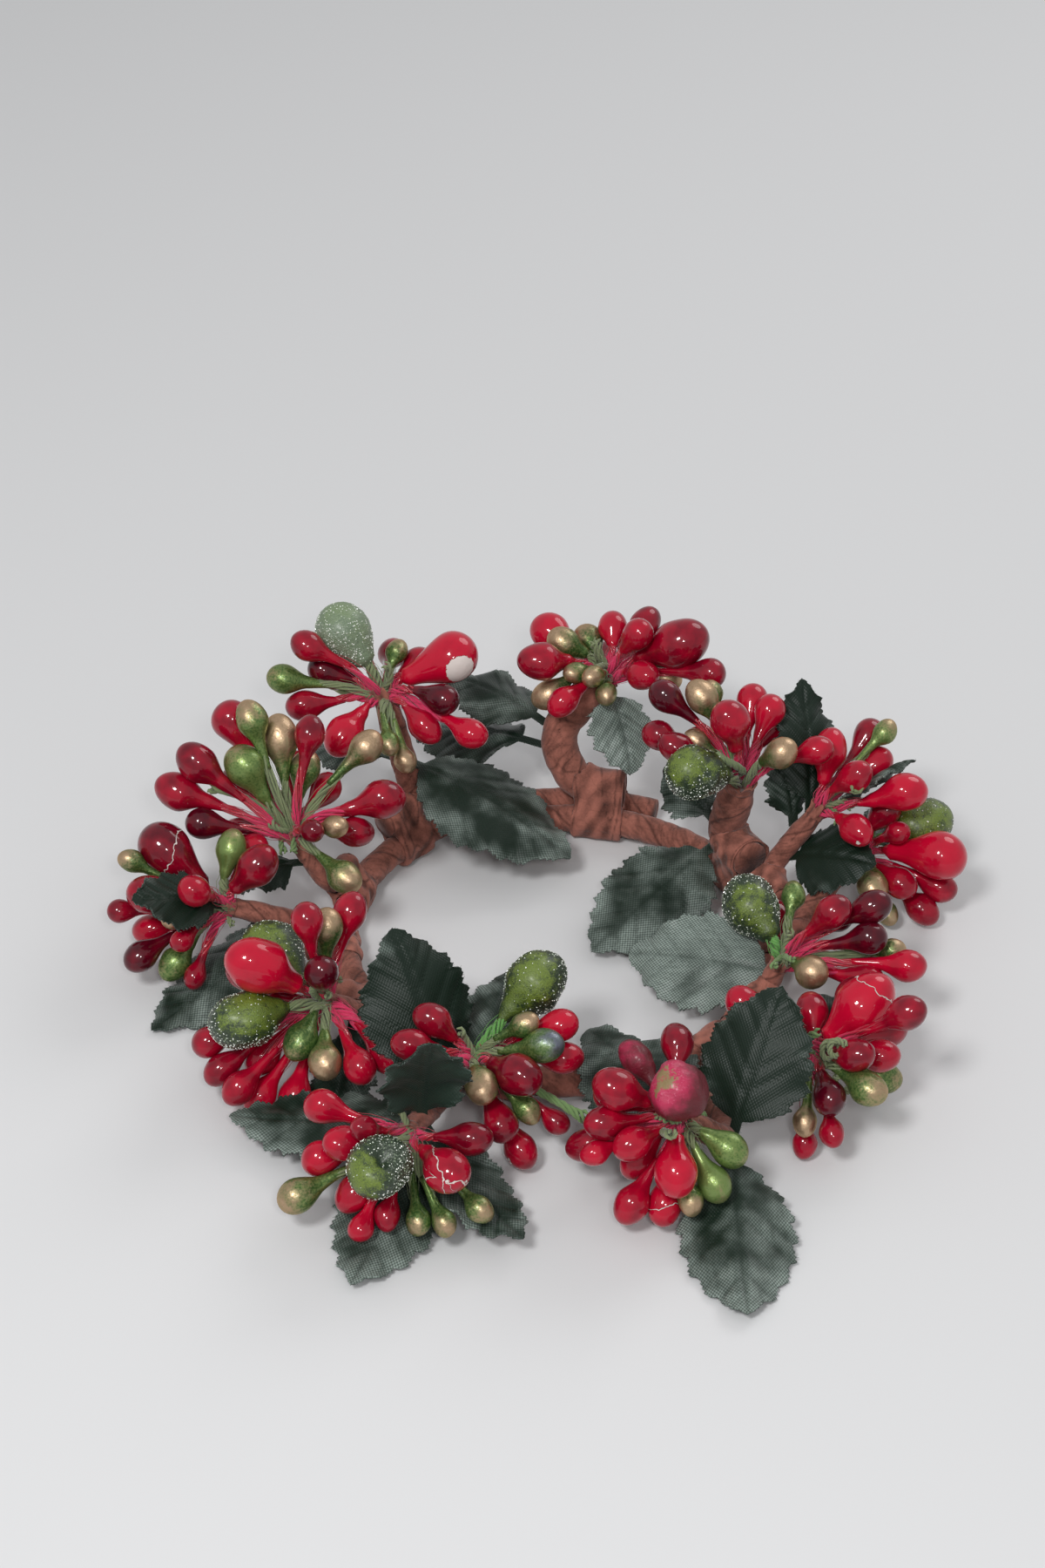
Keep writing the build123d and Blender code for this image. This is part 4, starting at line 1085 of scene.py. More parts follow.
def lay_cord(skin, line, thick, strands, twists, rng, bright, ragged=0.0):
    """A short cord of twisted strands along a line. Its end can be cut and frayed."""
    t = np.linspace(0, 1, len(line))
    _, across, up = carried(line)
    for number in range(strands):
        angle = 2 * math.pi * (number / strands + twists * t) + rng.normal() * 0.2
        reach = thick * 0.30 * (1 + ragged * ease((t - 0.7) / 0.3) * rng.uniform(0.5, 2.5))
        strand = coiled(line, across, up, angle, reach) + rng.normal(size=(len(line), 3)) * 0.02 * MM
        radii = np.full(len(line), thick * 0.28 * rng.uniform(0.85, 1.1))
        radii[-1] *= 0.55
        # Painted shade that darkens the cord towards its start in the knot.
        add_strand(skin, strand, radii, 6, 1.0, bright, 0 * t, 0.5 + 0.5 * t)


def spot_near(spray, x, y, reach):
    """The place on the camera's ray through a pixel that is a reach away from a knot."""
    ray = photo_ray(x, y)
    rel = spray.head - CAMERA_PLACE
    nearest = CAMERA_PLACE + ray * (rel @ ray)
    off = np.linalg.norm(nearest - spray.head)
    return nearest - ray * math.sqrt(max(0.0, reach**2 - off**2))


def make_trims(scene):
    """Curled and cut ends of thread that stand out of the knots."""
    sprays = {spray.number: spray for spray in read_model()["sprays"]}
    skin, t = Skin(), np.linspace(0, 1, 64)
    for number, x, y, turns, curl in CURLED_THREADS:
        spray, rng = sprays[number], random_for("curl", x)
        end = spot_near(spray, x, y, 8 * MM)
        way = unit(end - spray.head)
        side = unit(np.cross(way, [0.2, 0.1, 0.97]))
        lift = np.cross(side, way)
        turn = 2 * math.pi * turns * t
        wide = curl * MM * ease(t / 0.35) * (1 - 0.3 * t)
        line = spray.head + (end - spray.head) * (0.35 + 0.65 * t)[:, None]
        lay_cord(skin, coiled(line, side, lift, turn, wide), 0.85 * MM, 3, 7, rng, 0.0, 0.4)
    for number, x, y, to_x, to_y, bright in CUT_THREADS:
        spray, rng = sprays[number], random_for("cut", x)
        start, end = spot_near(spray, x, y, 4 * MM), spot_near(spray, to_x, to_y, 9 * MM)
        line = curve_through(spray.head, start, start * 0.4 + end * 0.6, end, 20)
        lay_cord(skin, line, 1.15 * MM, 4, 2.5, rng, bright, 0.8)
    for spray in sprays.values():
        rng = random_for(spray.name, "stubs")
        for _ in range(STUBS):
            way = unit(spray.axis * rng.uniform(0.2, 0.8) + unit(rng.normal(size=3)) * 0.9)
            end = spray.head + way * (spray.knot_radius + rng.uniform(1.2, 3.2) * MM)
            bend = np.cross(way, rng.normal(size=3)) * 0.8 * MM
            line = curve_through(spray.head, spray.head + way * MM + bend, end - way * MM + bend, end, 14)
            lay_cord(skin, line, 0.9 * MM, 3, 1.5, rng, rng.choice([0.0, 0.35]), 0.8)
    hand_over(skin.piece("thread_ends", MODEL["thread"]), "pip_thread", "thread_knots")


# Beads


def bead_rows(pip, neck, rng, rows, sides, sharp=1.0, uneven=0.014):
    """Points over one bead: an egg end, sides that draw in, and lacquer run down its thread."""
    radius, tall = pip.dia / 2 + pip.swell, pip.length + pip.swell
    end = min(radius * rng.uniform(1.0, 1.5), 0.55 * tall)
    belly = tall - end
    free = np.linalg.norm(pip.neck - pip.foot)
    drop = min(rng.uniform(0.35, 0.7) * free, 4.5 * MM)
    thread, neck = 0.5 * MM, max(neck, 0.40 * radius)
    t, split = np.linspace(0, 1, rows), 0.64
    side = t < split
    height = np.where(side, -drop + (belly + drop) * t / split, 0)
    turn = (t[~side] - split) / (1 - split) * math.pi / 2
    height[~side] = belly + end * np.sin(turn)
    x = np.clip(height / belly, 0, 1)
    across = neck + (radius - neck) * (0.5 - 0.5 * np.cos(math.pi * x)) ** sharp
    across[~side] = radius * np.cos(turn)
    below = height < 0
    across[below] = thread + (neck - thread) * (1 + height[below] / drop) ** 1.3
    across[-1] = radius * 0.03
    angle = round_angles(rows, sides)
    lump = ripples(rng, height[:, None] / (7 * MM), angle, 4, 0.4, 1.4, 2) * uneven
    lump = lump + 0.025 * np.cos(2 * angle + rng.uniform(0, 6))
    bow = unit(np.cross(pip.axis, rng.normal(size=3))) * 0.3 * MM * rng.uniform(0.2, 1)
    bent = bow * np.sin(math.pi * np.clip(height / tall, 0, 1))[:, None]
    line = pip.neck + pip.axis * height[:, None] + bent
    _, aside, up = carried(np.vstack([pip.neck, pip.tip]))
    out = aside[0] * np.cos(angle)[..., None] + up[0] * np.sin(angle)[..., None]
    points = line[:, None] + out * (across[:, None] * (1 + lump))[..., None]
    points = with_poles(points, line[0], pip.neck + pip.axis * tall)
    along = np.broadcast_to((height / tall)[:, None], (rows, sides))
    return points, loop_faces(rows, sides), pole_values(along, height[0] / tall, 1.0)


def facing(points, pip, way):
    """How far each point of a bead's side looks a given way, from -1 to 1."""
    out = points - (pip.neck + pip.axis * ((points - pip.neck) @ pip.axis)[:, None])
    out = unit(out + pip.axis * np.maximum(0, (points - pip.belly) @ pip.axis)[:, None] + 1e-9)
    return out @ way


def bead_size(pip):
    """Rows and sides enough for a bead's size."""
    return (30, 32) if pip.dia > BIG_BEAD else (20, 20)


def strung(name, node, finish, make_bead, beads, word=None):
    """A node's beads as one piece, each made with random numbers of its own."""
    skin = Skin()
    for number, pip in enumerate(p for p in read_model()["pips"] if p.node == node):
        points, faces, values = make_bead(pip, beads, random_for(word or node, number))
        skin.add(points, faces, **values)
    return skin.piece(name, finish)


def red_lacquer_finish(beads):
    """Deep red lacquer, chipped and split down to the bare bead."""
    paint = Finish("red_lacquer")
    tone, chip, seam, along = (paint.attribute(n) for n in ("tone", "chip", "seam", "along"))
    cloudy, fine = paint.noise(2.6 * MM, 2), paint.noise(0.5 * MM, 3)
    lit = tone + (cloudy - 0.5) * 0.8 + (0.35 - along) * 0.12
    base = paint.mix(beads.dark, beads.bright, paint.step(lit, -0.1, 1.1))
    chipped = paint.step(chip + (fine - 0.5) * 0.7, 0.0, 0.08)
    wander = paint.noise(2.2 * MM, 2)
    off = paint.size_of(seam + (fine - 0.5) * 0.35 + (wander - 0.5) * 2.2)
    split = 1 - paint.step(off, 0.04, 0.10 + fine * 0.06)
    bare = paint.node("Math", {"operation": "MAXIMUM"}, {0: chipped, 1: split})
    height = paint.noise(0.9 * MM, 2) * 0.6 + paint.noise(2.2 * MM, 1) - bare * 1.4
    return paint.surface(base_color=paint.mix(base, beads.bare, bare), roughness=0.30 + bare * 0.45,
                         specular_ior_level=0.08, coat_weight=1 - bare, coat_roughness=0.04,
                         coat_ior=1.42, normal=paint.bump(height, 0.09 * MM))


def red_bead(pip, beads, rng):
    """A red bead, with how far inside a chip and how far from a split each point is, in mm."""
    sharp = rng.uniform(0.65, 0.95) + (0.3 if pip.dia > BIG_BEAD else 0)
    points, faces, along = bead_rows(pip, beads.neck, rng, *bead_size(pip), sharp)
    chip, seam = np.full(len(points), -5.0), np.full(len(points), 10.0)
    for kind, at, size in pip.marks:
        if kind == "chip":
            chip = np.maximum(chip, (size - np.linalg.norm(points - at, axis=1)) / MM)
        else:
            off = (points - CAMERA_PLACE) @ at / MM
            seam = np.where(np.abs(off) < np.abs(seam), off, seam)
    return points, faces, {"tone": pip.tone, "chip": chip, "seam": seam, "along": along}


def make_red_beads(scene):
    """Each spray's red beads."""
    beads = scene.candle_ring_beads
    finish = red_lacquer_finish(beads)
    for spray in SPRAYS:
        node = spray + "_red_pips"
        hand_over(strung(spray + "_red_beads", node, finish, red_bead, beads), "red_lacquer", node)


def green_pearl_finish(beads):
    """Green pearl with gold, or silver, brushed on its round end, the gold reaching further on the side that
    faces the light as a painted highlight.
    """
    paint = Finish("green_pearl")
    along, gild, tone, silver = (paint.attribute(n) for n in ("along", "gild", "tone", "silver"))
    spots, patch = paint.noise(0.35 * MM, 3), paint.noise(1.6 * MM, 3)
    # A green bead's along value holds a painted highlight, so the gold spreads on the side that faces the
    # light.
    gold = paint.step(along + gild * 0.9 + (patch - 0.5) * 0.95 + (spots - 0.5) * 0.7, 1.0, 1.7)
    base = paint.mix(beads.green, (0.014, 0.052, 0.012), patch * 1.1 * (1.15 - tone))
    base = paint.mix(base, (0.24, 0.33, 0.10), paint.step(spots + tone * 0.3, 0.5, 0.9) * 0.6)
    rubbed = paint.mix(beads.gold, (0.30, 0.215, 0.115), spots)
    rubbed = paint.mix(rubbed, (0.17, 0.19, 0.24), silver)
    return paint.surface(base_color=paint.mix(base, rubbed, gold), metallic=0.48 + gold * 0.37,
                         roughness=0.36 + gold * 0.05, specular_ior_level=0.9,
                         specular_tint=(1.0, 0.78, 0.52), coat_weight=0.25, coat_roughness=0.12,
                         normal=paint.bump(patch + spots * 0.4, 0.10 * MM))


def green_bead(pip, beads, rng):
    """A green bead, gold towards its round end and, as a painted highlight, on the side that faces the light.
    """
    points, faces, along = bead_rows(pip, beads.neck * 1.05, rng, *bead_size(pip), rng.uniform(0.7, 1.1))
    # Painted highlight: more gold on the side that faces the light, less underneath.
    gold_and_highlight = along + 0.30 * facing(points, pip, GOLD_HIGHLIGHT_FROM)
    tone = max(rng.uniform(0.2, 1), pip.fresh)
    return points, faces, {"along": gold_and_highlight, "gild": pip.gild, "silver": pip.silver, "tone": tone}


def make_green_beads(scene):
    """Each spray's green beads."""
    beads = scene.candle_ring_beads
    finish = green_pearl_finish(beads)
    for spray in SPRAYS:
        node = spray + "_green_pips"
        hand_over(strung(spray + "_green_beads", node, finish, green_bead, beads), "green_pearl", node)


def sugared_finish(beads):
    """The green coat under the grains, lighter with painted light on the side that faces the light, where the
    grains have also worn off.
    """
    paint = Finish("sugared_green")
    worn, along, frost, pale = (paint.attribute(n) for n in ("worn", "along", "frost", "pale"))
    fine, patch, grit = paint.noise(0.22 * MM, 3), paint.noise(1.4 * MM, 2), paint.noise(0.30 * MM, 1)
    # Painted light: the side that faces the light turns a lighter yellow-green.
    light = paint.step(worn + (patch - 0.5) * 1.3 + (fine - 0.5) * 0.8, 0.45, 1.0)
    base = paint.mix(beads.sugar_dark, beads.sugar_light, light * (0.25 + fine * 1.2))
    base = paint.mix(base, (0.012, 0.03, 0.008), (0.45 - along) * 0.8)
    base = paint.mix(base, (0.20, 0.27, 0.17), pale * (0.3 + fine * 0.8))
    base = paint.mix(base, (0.30, 0.35, 0.27), paint.step(grit + frost * 0.2, 0.72, 0.82) * frost * 0.25)
    height = fine * 0.6 + patch * 0.7 + grit * 0.6
    return paint.surface(base_color=base, roughness=0.45, specular_ior_level=0.5, coat_weight=0.3,
                         coat_roughness=0.25, normal=paint.bump(height, 0.16 * MM))


def grain_finish():
    """Glitter grains, some of them green."""
    paint = Finish("glitter_grain")
    tint = paint.step(paint.noise(1.5 * MM, 1), 0.35, 0.6)
    return paint.surface(base_color=paint.mix((0.25, 0.33, 0.20), (0.90, 0.93, 0.86), tint),
                         roughness=0.12, specular_ior_level=0.9, coat_weight=0.6, coat_roughness=0.03)


def socket(tree, name, kind, default=None):
    """A named input of a tree, with its default."""
    made = tree.interface.new_socket(name=name, in_out="INPUT", socket_type="NodeSocket" + kind)
    if default is not None:
        made.default_value = default


class Tree:
    """A Geometry Nodes tree whose nodes are made one call at a time."""

    def __init__(self, name, inputs):
        self.tree = bpy.data.node_groups.new(name, "GeometryNodeTree")
        self.tree.interface.new_socket(name="Geometry", in_out="OUTPUT", socket_type="NodeSocketGeometry")
        socket(self.tree, "Geometry", "Geometry")
        for key, (kind, default) in inputs.items():
            socket(self.tree, key, kind, default)
        self.given = self.tree.nodes.new("NodeGroupInput")

    def node(self, kind, settings=None, inputs=None):
        """A node with its settings, and with values or links in its sockets."""
        made = self.tree.nodes.new(kind)
        for key, value in (settings or {}).items():
            setattr(made, key, value)
        for key, value in (inputs or {}).items():
            if isinstance(value, bpy.types.NodeSocket):
                self.tree.links.new(value, made.inputs[key])
            else:
                made.inputs[key].default_value = value
        return made

    def random(self, low, high):
        """A vector for each point whose numbers are random between two."""
        seed = self.given.outputs["Seed"]
        made = self.node("FunctionNodeRandomValue", {"data_type": "FLOAT_VECTOR"},
                         {"Min": (low,) * 3, "Max": (high,) * 3, "Seed": seed})
        return made.outputs[0]

    def finish(self, geometry):
        """Plain faces with the material on them, as the tree's result."""
        real = self.node("GeometryNodeRealizeInstances", None, {"Geometry": geometry})
        made = self.node("GeometryNodeSetMaterial", None,
                         {"Geometry": real.outputs[0], "Material": self.given.outputs["Material"]})
        end = self.tree.nodes.new("NodeGroupOutput")
        self.tree.links.new(made.outputs[0], end.inputs["Geometry"])

    def apply(self, base, name, values):
        """Runs the tree on an object and gives back a new plain piece."""
        change = base.modifiers.new(name, "NODES")
        change.node_group = self.tree
        names = {item.name: item.identifier for item in self.tree.interface.items_tree
                 if item.item_type == "SOCKET" and item.in_out == "INPUT"}
        for key, value in values.items():
            change[names[key]] = value
        bpy.context.view_layer.update()
        mesh = bpy.data.meshes.new_from_object(base.evaluated_get(bpy.context.evaluated_depsgraph_get()))
        base.modifiers.remove(change)
        piece = bpy.data.objects.new(name, mesh)
        mesh.name = name
        bpy.context.scene.collection.objects.link(piece)
        return piece


def grain_tree():
    """Grains scattered over a surface, thicker where its frost value is high."""
    tree = Tree("glitter grains", {"Grain": ("Float", 0.3 * MM), "Grains": ("Float", 1.0),
                                   "Seed": ("Int", 3), "Material": ("Material", None)})
    given = tree.given.outputs
    frost = tree.node("GeometryNodeInputNamedAttribute", {"data_type": "FLOAT"}, {"Name": "frost"})
    density = tree.node("ShaderNodeMath", {"operation": "MULTIPLY"},
                        {0: given["Grains"], 1: frost.outputs[0]})
    spots = tree.node("GeometryNodeDistributePointsOnFaces", {"distribute_method": "RANDOM"},
                      {"Mesh": given["Geometry"], "Density": density.outputs[0], "Seed": given["Seed"]})
    grain = tree.node("GeometryNodeMeshUVSphere", None,
                      {"Radius": given["Grain"], "Segments": 4, "Rings": 2})
    laid = tree.node("GeometryNodeInstanceOnPoints", None,
                     {"Points": spots.outputs["Points"], "Instance": grain.outputs["Mesh"],
                      "Rotation": tree.random(0, 6.3), "Scale": tree.random(0.22, 0.66)})
    tree.finish(laid.outputs[0])
    return tree


def sugared_bead(pip, beads, rng):
    """A sugared bead: worn, and lit with painted light, on one side, and pressed in or frosted where it is
    marked.
    """
    points, faces, along = bead_rows(pip, beads.neck * 1.3, rng, 34, 40, rng.uniform(0.45, 0.8), 0.04)
    # How far each point faces the light, for painted light and for fewer grains there.
    worn = facing(points, pip, unit(SUGAR_LIT_AND_WORN_FROM + rng.normal(size=3) * 0.25))
    frost = (1.12 - 0.95 * ease((worn - 0.15) / 0.7)) * ease((along - 0.02) / 0.15)
    pale = 0.0
    for kind, at, size in pip.marks:
        if kind == "frost":
            pale, frost = 1.0, frost + 0.5
        else:
            near = np.exp(-((points - at) ** 2).sum(axis=1) / size**2)
            points = points + (pip.belly - points) * (0.62 * near)[:, None]
            frost = frost - 0.3 * near
    return points, faces, {"worn": worn, "along": along, "frost": frost, "pale": pale}


def make_sugared_beads(scene):
    """The sugared beads, and the glitter grains that are scattered over them."""
    beads = scene.candle_ring_beads
    piece = strung("sugared_beads", "sugared_pips", sugared_finish(beads), sugared_bead, beads, "sugared")
    grains = grain_tree().apply(piece, "glitter_grains", {
        "Grain": beads.grain / 2, "Grains": beads.grains / MM**2, "Seed": 11, "Material": grain_finish()})
    hand_over(piece, "sugared_green", "sugared_pips")
    hand_over(grains, "sugared_green")


def pink_finish(beads):
    """A matt pink coat, darker with painted shade on the side away from the light and in its hollows, with
    pale specks and some green showing.
    """
    paint = Finish("matt_pink")
    worn = paint.attribute("worn")
    fine, patch = paint.noise(0.3 * MM, 3), paint.noise(1.9 * MM, 3)
    # Painted shade: near-black crimson on the side away from the light and in the hollows.
    base = paint.mix((0.10, 0.002, 0.008), beads.pink, paint.step(worn + (patch - 0.5) * 1.1, 0.0, 0.8))
    # Pale specks, partly a painted highlight, more of them on the lit side.
    base = paint.mix(base, (0.62, 0.13, 0.22), paint.step(fine + worn * 0.3, 0.74, 0.92) * 0.5)
    green = paint.step(worn + (patch - 0.5) * 0.7 + (fine - 0.5) * 0.4, 0.84, 0.94)
    base = paint.mix(base, (0.17, 0.19, 0.06), green * 0.8)
    return paint.surface(base_color=base, roughness=0.55, specular_ior_level=0.45, coat_weight=0.25,
                         coat_roughness=0.2, normal=paint.bump(patch + fine * 0.3, 0.3 * MM))


def pink_bead(pip, beads, rng):
    """A matt bead, pressed flat here and there."""
    points, faces, along = bead_rows(pip, beads.neck * 1.2, rng, 34, 40, 0.7)
    facets = unit(rng.normal(size=(14, 3)))
    rel = points - pip.belly
    reach = np.linalg.norm(rel, axis=1)
    depth = (unit(rel + 1e-9) @ facets.T).max(axis=1)
    rel = rel * (1 - 0.13 * ease((depth - 0.80) / 0.14) * (reach < pip.dia))[:, None]
    # How far each point faces the light, for painted light and shade and for where the green shows; small
    # beads get half.
    worn = unit(rel + 1e-9) @ unit(PINK_LIT_AND_WORN_FROM)
    worn = worn if pip.dia > 6 * MM else worn * 0.5
    return pip.belly + rel, faces, {"worn": worn, "along": along}


def make_pink_beads(scene):
    """The matt pink beads."""
    beads = scene.candle_ring_beads
    piece = strung("pink_beads", "pink_pips", pink_finish(beads), pink_bead, beads, "pink")
    hand_over(piece, "pink_matte", "pink_pips")


# Leaves


def leaf_finish(leaves):
    """Dark woven cloth, darker with painted shade in its pressed veins, and pale with a painted satin sheen
    over its threads.
    """
    paint = Finish("leaf_fabric")
    x, y, vein, worn, under = (paint.attribute(n) for n in ("cloth_x", "cloth_y", "vein", "pale", "under"))
    wave = math.pi / (leaves.pitch / MM)
    weave = paint.sine(x * wave * 0.8) * paint.sine(y * wave)
    cloudy, fine = paint.noise(6 * MM, 2), paint.noise(0.5 * MM, 2)
    # The pale value is a painted satin sheen, broken into clouds.
    pale = paint.step(worn + (cloudy - 0.5) * 2.0, 0.10, 1.25)
    cloth = paint.node("CombineXYZ", None, {0: x * 0.22, 1: y * 1.7})
    streaks = paint.node("TexNoise", None, {"Vector": cloth, "Scale": 1.0, "Detail": 2.0})
    threads = paint.step(weave + (fine - 0.5) + (streaks - 0.5) * 0.9, -0.8, 1.1)
    # Painted satin sheen, lightest on the weave's raised threads.
    base = paint.mix(leaves.deep, leaves.worn, pale * (0.26 + threads * 0.78))
    # Painted shade in the pressed veins and the midrib.
    base = paint.mix(base, leaves.deep, vein * 0.28)
    base = paint.mix(base, (0.03, 0.055, 0.042), under * 0.5)
    return paint.surface(base_color=base, roughness=0.42 - pale * 0.08, specular_ior_level=0.27,
                         sheen_weight=0.06, sheen_roughness=0.35,
                         normal=paint.bump(weave * 0.22 + fine * 0.3, 0.08 * MM))


def leaf_swell(t):
    """Half the width of a leaf along its blade, of a widest place of 1."""
    base_power, tip_power = 0.62, 0.86
    widest = base_power / (base_power + tip_power)
    peak = widest**base_power * (1 - widest) ** tip_power
    return t**base_power * (1 - t) ** tip_power / peak


def saw(x, lean=0.75):
    """Teeth that rise slowly and fall fast, from 0 to 1."""
    x = x % 1
    return np.where(x < lean, x / lean, (1 - x) / (1 - lean))


def bend_over(points, place, pips):
    """Lifts a leaf, given as rows of points, clear of the beads that it would cut."""
    out = place.up * unit(points - place.hub)
    for pip in pips:
        rel = points - pip.belly
        height = (rel * out).sum(axis=-1)
        aside = np.linalg.norm(rel - height[..., None] * out, axis=-1)
        size = pip.dia / 2 + pip.swell + LEAF_CLEARANCE
        if (np.linalg.norm(rel, axis=-1) > size).all():
            continue
        above = height.flat[aside.argmin()]
        side = 1.0 if above > 0 else -1.0
        rise = size - side * above
        if rise > MOST_LIFT:
            continue
        rounded = 0.5 + 0.5 * np.cos(math.pi * np.clip(aside / (1.8 * size), 0, 1))
        points = points + out * (side * rise * rounded)[..., None]
    return points


def leaf_grid(place, leaves, rng):
    """A leaf's rows and columns: run, share of the blade, share of the width, and place across."""
    rows = int((place.tip - place.base) / LEAF_ROW)
    run = np.linspace(place.base, place.tip, rows)
    blade_length = place.tip - place.blade
    blade = np.clip((run - place.blade) / blade_length, 0, 1)
    stalk = np.where(blade < 0.04, STALK_HALF_WIDTH, 0)
    smooth = np.maximum(leaf_swell(blade) * place.half_width * 0.97, stalk)
    teeth = np.zeros((rows, 2))
    for side in range(2):
        big = saw(blade * blade_length / (rng.uniform(3.0, 3.8) * MM) + rng.uniform(), 0.8)
        small = saw(blade * blade_length / (rng.uniform(0.75, 0.95) * MM) + rng.uniform(), 0.65)
        jag = rng.normal(size=rows) * 0.10
        teeth[:, side] = (big - 0.5) * leaves.tooth + (small - 0.5 + jag) * leaves.tooth * 0.42
    teeth *= (ease(blade / 0.08) * ease((1 - blade) / 0.05))[:, None]
    v = np.linspace(-1, 1, 2 * LEAF_HALF_COLUMNS + 1)
    v = np.sign(v) * (1 - (1 - np.abs(v)) ** 1.25)
    reach = np.where(v[None] < 0, teeth[:, :1], teeth[:, 1:]) * ease((np.abs(v) - 0.72) / 0.28)[None]
    y = v[None] * smooth[:, None] + np.sign(v)[None] * reach
    y[-1] *= 1 - 0.98
    return run[:, None], blade[:, None], v[None], y


def leaf_relief(place, run, blade, v, y, rng):
    """A leaf's height over its bend, the lines of its veins, and how pale its weave is with painted satin
    sheen.
    """
    flat = np.abs(y)
    fade = ease(blade / 0.12) * ease((1 - blade) / 0.15)
    gap = (place.tip - place.blade) / rng.uniform(4.8, 5.8)
    lean = 0.9 + 0.25 * blade
    at_vein = (run - place.blade - flat * lean) / gap + rng.uniform(-0.1, 0.1) * np.sign(y)
    at_vein = at_vein + 0.16 * np.sin(2.3 * at_vein + rng.uniform(0, 6))
    off = np.abs((at_vein + 0.5) % 1 - 0.5) * gap
    taper = 1 - 0.6 * np.abs(v)
    vein = np.exp(-(off / (0.28 * MM)) ** 2) * taper * (at_vein > 0.2)
    rib = np.exp(-(flat / (0.38 * MM)) ** 2)
    pillow = np.sin(math.pi * (at_vein % 1)) * ease(flat / (1.5 * MM))
    fold = rng.uniform(0.14, 0.34)
    waves = ripples(rng, run / (11 * MM), 0 * y, 4, 0.5, 1.6, 0)
    waves = waves * (v**2) * np.sign(v) ** rng.integers(0, 2)
    cup = rng.uniform(-0.5, 0.5) * MM
    pressed = rng.uniform(0.45, 1.0)
    height = (0.21 * pillow - 0.17 * vein) * pressed * MM * fade - 0.36 * rib * MM * fade
    height = height - fold * (flat - 1.5 * MM) * fade + 0.75 * MM * waves * fade + cup * (v**2) * fade
    height = height + rng.uniform(-0.8, 1.2) * MM * ease((blade - 0.7) / 0.3)
    # Painted satin sheen: paler on the pillows between the veins, near the edges, towards the tip and on the
    # waves.
    pale = place.pale + 0.18 * pillow * fade + 0.22 * ease((np.abs(v) - 0.55) / 0.45) * fade
    pale = pale + (0.16 + 0.5 * max(place.pale, 0)) * ease((blade - 0.5) / 0.4) + 0.16 * waves
    # The veins' and the midrib's lines darken the cloth as painted shade.
    return height, vein + rib, pale


def sheet_faces(rows, columns):
    """Quads over a sheet's upper skin, and between its two skins round the rim."""
    row, column = (g.ravel() for g in np.meshgrid(np.arange(rows - 1), np.arange(columns - 1), indexing="ij"))
    here, count = row * columns + column, rows * columns
    top = np.stack([here, here + 1, here + columns + 1, here + columns], 1)
    rim = np.concatenate([np.arange(columns), np.arange(1, rows) * columns + columns - 1,
                          (rows - 1) * columns + np.arange(columns - 2, -1, -1),
                          np.arange(rows - 2, 0, -1) * columns])
    after = np.roll(rim, -1)
    return top, np.stack([rim, rim + count, after + count, after], 1)


def press_leaf(skin, place, leaves, rng):
    """One leaf: toothed, pressed with veins, waved, and with both of its skins."""
    run, blade, v, y = leaf_grid(place, leaves, rng)
    height, vein, pale = leaf_relief(place, run, blade, v, y, rng)
    middle = bend_over(place.at(np.broadcast_to(run, y.shape), y, height), place, MODEL["pips"])
    thin = leaves.thickness / 2
    low = thin + 0.15 * MM
    middle[..., 2] = low + np.logaddexp(0, (middle[..., 2] - low) / (0.3 * MM)) * 0.3 * MM
    normal = unit(np.cross(np.gradient(middle, axis=0), np.gradient(middle, axis=1)) + 1e-12)
    (rows, columns), count = y.shape, y.size
    centre, half_way = (rows // 2, LEAF_HALF_COLUMNS), run[rows // 2, 0]
    if normal[centre] @ (place.at(half_way, 0.0, MM) - place.at(half_way, 0.0, 0.0)) < 0:
        normal = -normal
    points = np.vstack([(middle + normal * thin).reshape(-1, 3), (middle - normal * thin).reshape(-1, 3)])
    top, edge = sheet_faces(rows, columns)
    a, b, c, _ = points[top[len(top) // 2]]
    if np.cross(b - a, c - a) @ normal[centre] <= 0:
        top, edge = top[:, ::-1], edge[:, ::-1]
    grids = {"cloth_x": run / MM, "cloth_y": y / MM, "vein": vein, "pale": pale}
    values = {key: np.tile(np.broadcast_to(grid, y.shape).ravel(), 2) for key, grid in grids.items()}
    skin.add(points, [top, top[:, ::-1] + count, edge], **values, under=np.repeat([0.0, 1.0], count))
    outline = np.r_[middle[:, 0], middle[::-1, -1]]
    outward = np.r_[middle[:, 0] - middle[:, 1], (middle[:, -1] - middle[:, -2])[::-1]]
    return outline, unit(outward + 1e-9)


